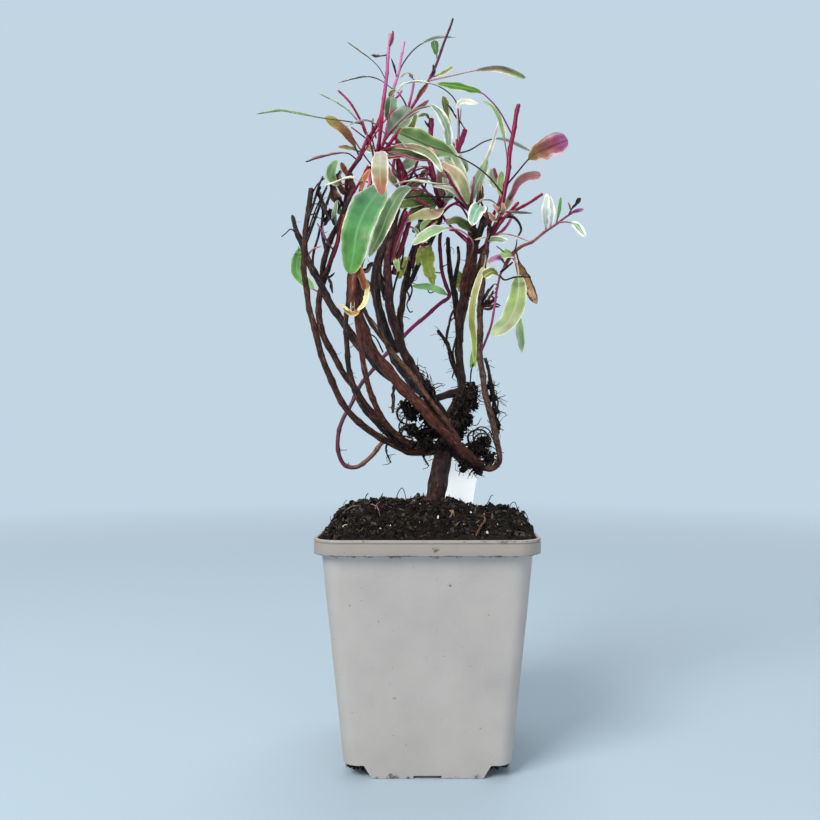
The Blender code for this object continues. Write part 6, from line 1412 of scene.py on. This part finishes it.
def leafPart(name, seed):
    # sections along the midrib: middle + out * half * cos a + normal * (fold + edge wave + thick * sin a).
    # The half width grows as blade^p and dies away as (1 - blade)^q, so that the blade is widest at one share
    _, stem, look, width, turn, stalk, route = leaves[name]
    marginShare, tipStart, spots, fold, widest, pointed, ragged, colours = leafLooks[look]
    chance = np.random.default_rng(seed)
    path = smoothPath(np.vstack([footOnStem(stem, route[0]), placed(route[1:])]), blade["spacing"])
    along, side, lift = directionsOf(path)
    share = np.linspace(0, 1, len(path))
    turn = turn + chance.uniform(*blade["turnSpread"])
    twist = np.radians(turn + chance.uniform(*blade["twistSpread"]) * (share - 0.5))[:, None]
    out = np.cos(twist) * side + np.sin(twist) * lift
    normal = np.cross(along, out)
    if normal.mean(axis=0) @ [0, -1, 0.4] < 0:
        normal = -normal
    if out.mean(axis=0) @ [0.6, 0, -1] < 0:
        out = -out
    onBlade = np.clip((share - stalk) / (1 - stalk), 0, 1)
    grows, dies = pointed * 2 * widest, pointed * 2 * (1 - widest)
    peak = widest**grows * (1 - widest) ** dies
    half = width / 2 * onBlade**grows * (1 - onBlade) ** dies / peak
    stalkHalf = min(blade["stalkHalf"], width * 0.2) * (1 - 0.5 * share)
    isBlade = np.clip(half / stalkHalf - 1, 0, 1)[:, None]
    half = np.maximum(half, stalkHalf * np.sqrt(np.clip((1 - share) * len(share) / 2, 0, 1)))[:, None]
    angle = np.arange(blade["around"]) * 2 * math.pi / blade["around"]
    across, above = np.cos(angle)[None], np.sin(angle)[None]
    rib = np.exp(-(across / blade["ribShare"]) ** 2) * blade["ribRise"]
    thickness = isBlade * (blade["thickness"] * (1 - across**4) + rib)
    thickness = thickness + (1 - isBlade) * blade["stalkThickness"]
    folded = np.radians(fold + chance.uniform(*blade["foldSpread"])) * isBlade
    rise = np.sqrt(across**2 + 0.02) - math.sqrt(0.02)
    phase = chance.uniform(0, 2 * math.pi) + (across > 0) * chance.uniform(1, 4)
    waving = np.sin(2 * math.pi * blade["waves"] * onBlade[:, None] + phase) * across**2 * blade["edgeWave"]
    cupped = chance.uniform(*blade["cupSpread"]) * blade["cup"] * across**2
    shape = half * (rise * np.sin(folded) + isBlade * (waving + cupped))
    tears = [fieldNoise(path + shift, 1.5, seed) for shift in (0, 40)]
    torn = 1 + ragged * isBlade * np.where(across > 0, tears[0][:, None], tears[1][:, None])
    flat = half * across * np.cos(folded) * torn
    over = shape + np.minimum(thickness, half * 0.8) * above * (1 - 0.8 * isBlade * across**2)
    sections = path[:, None] + out[:, None] * flat[..., None] + normal[:, None] * over[..., None]
    crinkle = fieldNoise(sections, blade["crinkleSize"], seed + 1)
    crinkle = crinkle * isBlade * min(0.5, blade["crinkle"] + ragged * 1.6)
    sections = sections + normal[:, None] * crinkle[..., None]
    tone = 1 + chance.uniform(*blade["toneSpread"])
    middle, margin, ribColour, tip, stalkColour = (alongBlade(code, onBlade, across) for code in colours)
    bladeHere = isBlade[..., None]
    place = np.stack(np.broadcast_arrays(across, onBlade[:, None], chance.uniform()), axis=-1)
    marginShare = marginShare * chance.uniform(*blade["marginSpread"])
    reads = {
        "leafCentre": stalkColour * (1 - bladeHere) + middle * tone * bladeHere,
        "leafMargin": stalkColour * (1 - bladeHere) + margin * (0.5 + 0.5 * tone) * bladeHere,
        "leafRib": stalkColour + (ribColour - stalkColour) * np.clip(onBlade / 0.25, 0, 1)[:, None, None],
        "leafTip": tip * tone,
        "leafPlace": place, "leafMix": np.broadcast_to([marginShare, tipStart, spots], sections.shape)}
    return loft(sections, reads)


def makeLeaves(material):
    # all leaves of a node are one piece, which replaces the CAD part where the node is a single leaf
    seeds = {name: 300 + i for i, name in enumerate(leaves)}
    shoots = {row[0] for row in stems.values()}
    for node in dict.fromkeys(row[0] for row in leaves.values()):
        parts = [leafPart(name, seeds[name]) for name, row in leaves.items() if row[0] == node]
        named, replaced = (f"{node}_leaves", ()) if node in shoots else (f"{node}_blade", (node,))
        asPiece(named, parts, material, replaced)


# Stage, light and camera

# each light is where it stands, the height that it aims at, its size, its power and its colour
stage = {
    "floor": "a9c0d2", "far": "c2d5e3", "air": "a8aaac", "reach": 3.0, "sides": 96,
    "lights": {
        "key": ((-0.75, -0.95, 1.15), 0.15, 0.7, 25, "fff6ea"),
        "fill": ((0.7, -1.3, 0.22), 0.12, 0.8, 7, "fff4ea"),
        "top": ((0.1, 0.5, 1.3), 0.15, 0.8, 6, "fffaf4")}}


def makeStage():
    # a plain pale floor that runs into the backdrop's own colour with distance
    floor = newMaterial("studio floor")
    place = addNode(floor, "TexCoord")["Object"]
    away = addNode(floor, "VectorMath", {0: place}, operation="LENGTH")["Value"]
    fade = addNode(floor, "MapRange", {0: away, 1: 0.3, 2: 1.3}, interpolation_type="SMOOTHSTEP")[0]
    near = addNode(floor, "BsdfPrincipled", {"Base Color": stage["floor"], "Roughness": 0.65})[0]
    far = addNode(floor, "Emission", {0: stage["far"], 1: 1.0})[0]
    surface = addNode(floor, "MixShader", {0: fade, 1: near, 2: far})[0]
    addNode(floor, "OutputMaterial", {"Surface": surface})
    mesh = bpy.data.meshes.new("studio_floor")
    sides = stage["sides"]
    turn = np.arange(sides) * 2 * math.pi / sides
    ring = np.stack([np.cos(turn), np.sin(turn), np.zeros(sides)], axis=1) * stage["reach"]
    mesh.from_pydata([tuple(p) for p in ring], [], [tuple(range(sides))])
    mesh.materials.append(floor)
    made = bpy.data.objects.new("studio_floor", mesh)
    bpy.context.scene.collection.objects.link(made)
    world = bpy.data.worlds.new("studio air")
    bpy.context.scene.world = world
    world.use_nodes = True
    world.node_tree.nodes.clear()
    # the backdrop is pale blue to look at and lights the plant with a neutral grey
    seen = addNode(world, "LightPath")["Is Camera Ray"]
    lit = addNode(world, "Background", {0: stage["air"], 1: 1.1})[0]
    blue = addNode(world, "Background", {0: stage["far"], 1: 1.0})[0]
    addNode(world, "OutputWorld", {0: addNode(world, "MixShader", {0: seen, 1: lit, 2: blue})[0]})


def makeLights():
    for name, (spot, aimHeight, size, power, colour) in stage["lights"].items():
        lamp = bpy.data.lights.new(name, "AREA")
        lamp.energy, lamp.size, lamp.color = power, size, hexToLinear(colour)
        made = bpy.data.objects.new(name, lamp)
        bpy.context.scene.collection.objects.link(made)
        made.location = spot
        made.rotation_euler = (Vector((0, 0, aimHeight)) - Vector(spot)).to_track_quat("-Z", "Y").to_euler()


def makeCamera():
    # stands at the view's eye, level and straight ahead, with its picture shifted to look at the view's place
    steps, middle = view["steps"], view["steps"] / 2
    lens = bpy.data.cameras.new("front camera")
    lens.sensor_width, lens.lens = 36, 36 * view["focal"] / steps
    lens.shift_x, lens.shift_y = (middle - view["across"]) / steps, (view["down"] - middle) / steps
    lens.clip_start = 0.01
    made = bpy.data.objects.new("front camera", lens)
    made.location = (0, -view["distance"] * millimetre, view["height"] * millimetre)
    made.rotation_euler = (math.pi / 2, 0, 0)
    bpy.context.scene.collection.objects.link(made)
    bpy.context.scene.camera = made


# Making it all
materials = {"pot": potMaterial(), "label": labelMaterial(), "soil": soilMaterial(), "bark": barkMaterial(),
             "skin": shootMaterial(), "leaf": leafMaterial()}
print("materials made")
makePot(materials["pot"])
frame["nodes"]["plant_label"].data.materials.clear()
frame["nodes"]["plant_label"].data.materials.append(materials["label"])
print("pot and label made")
makeSoil(materials["soil"])
perlite = newMaterial("expanded perlite")
finishMaterial(perlite, reading(perlite, "tint"), 0.9)
asPiece("perlite_bits", makeSoilDressing(materials["soil"], materials["bark"]), perlite)
print("soil made")
makeStems(materials["bark"], materials["skin"])
makeCrown(materials["bark"], materials["soil"])
makeLitter(materials["bark"])
print("stems and crown made")
makeLeaves(materials["leaf"])
print("leaves made")
makeStage()
makeLights()
makeCamera()
bpy.context.scene.view_settings.view_transform = "Standard"
print("stage made")
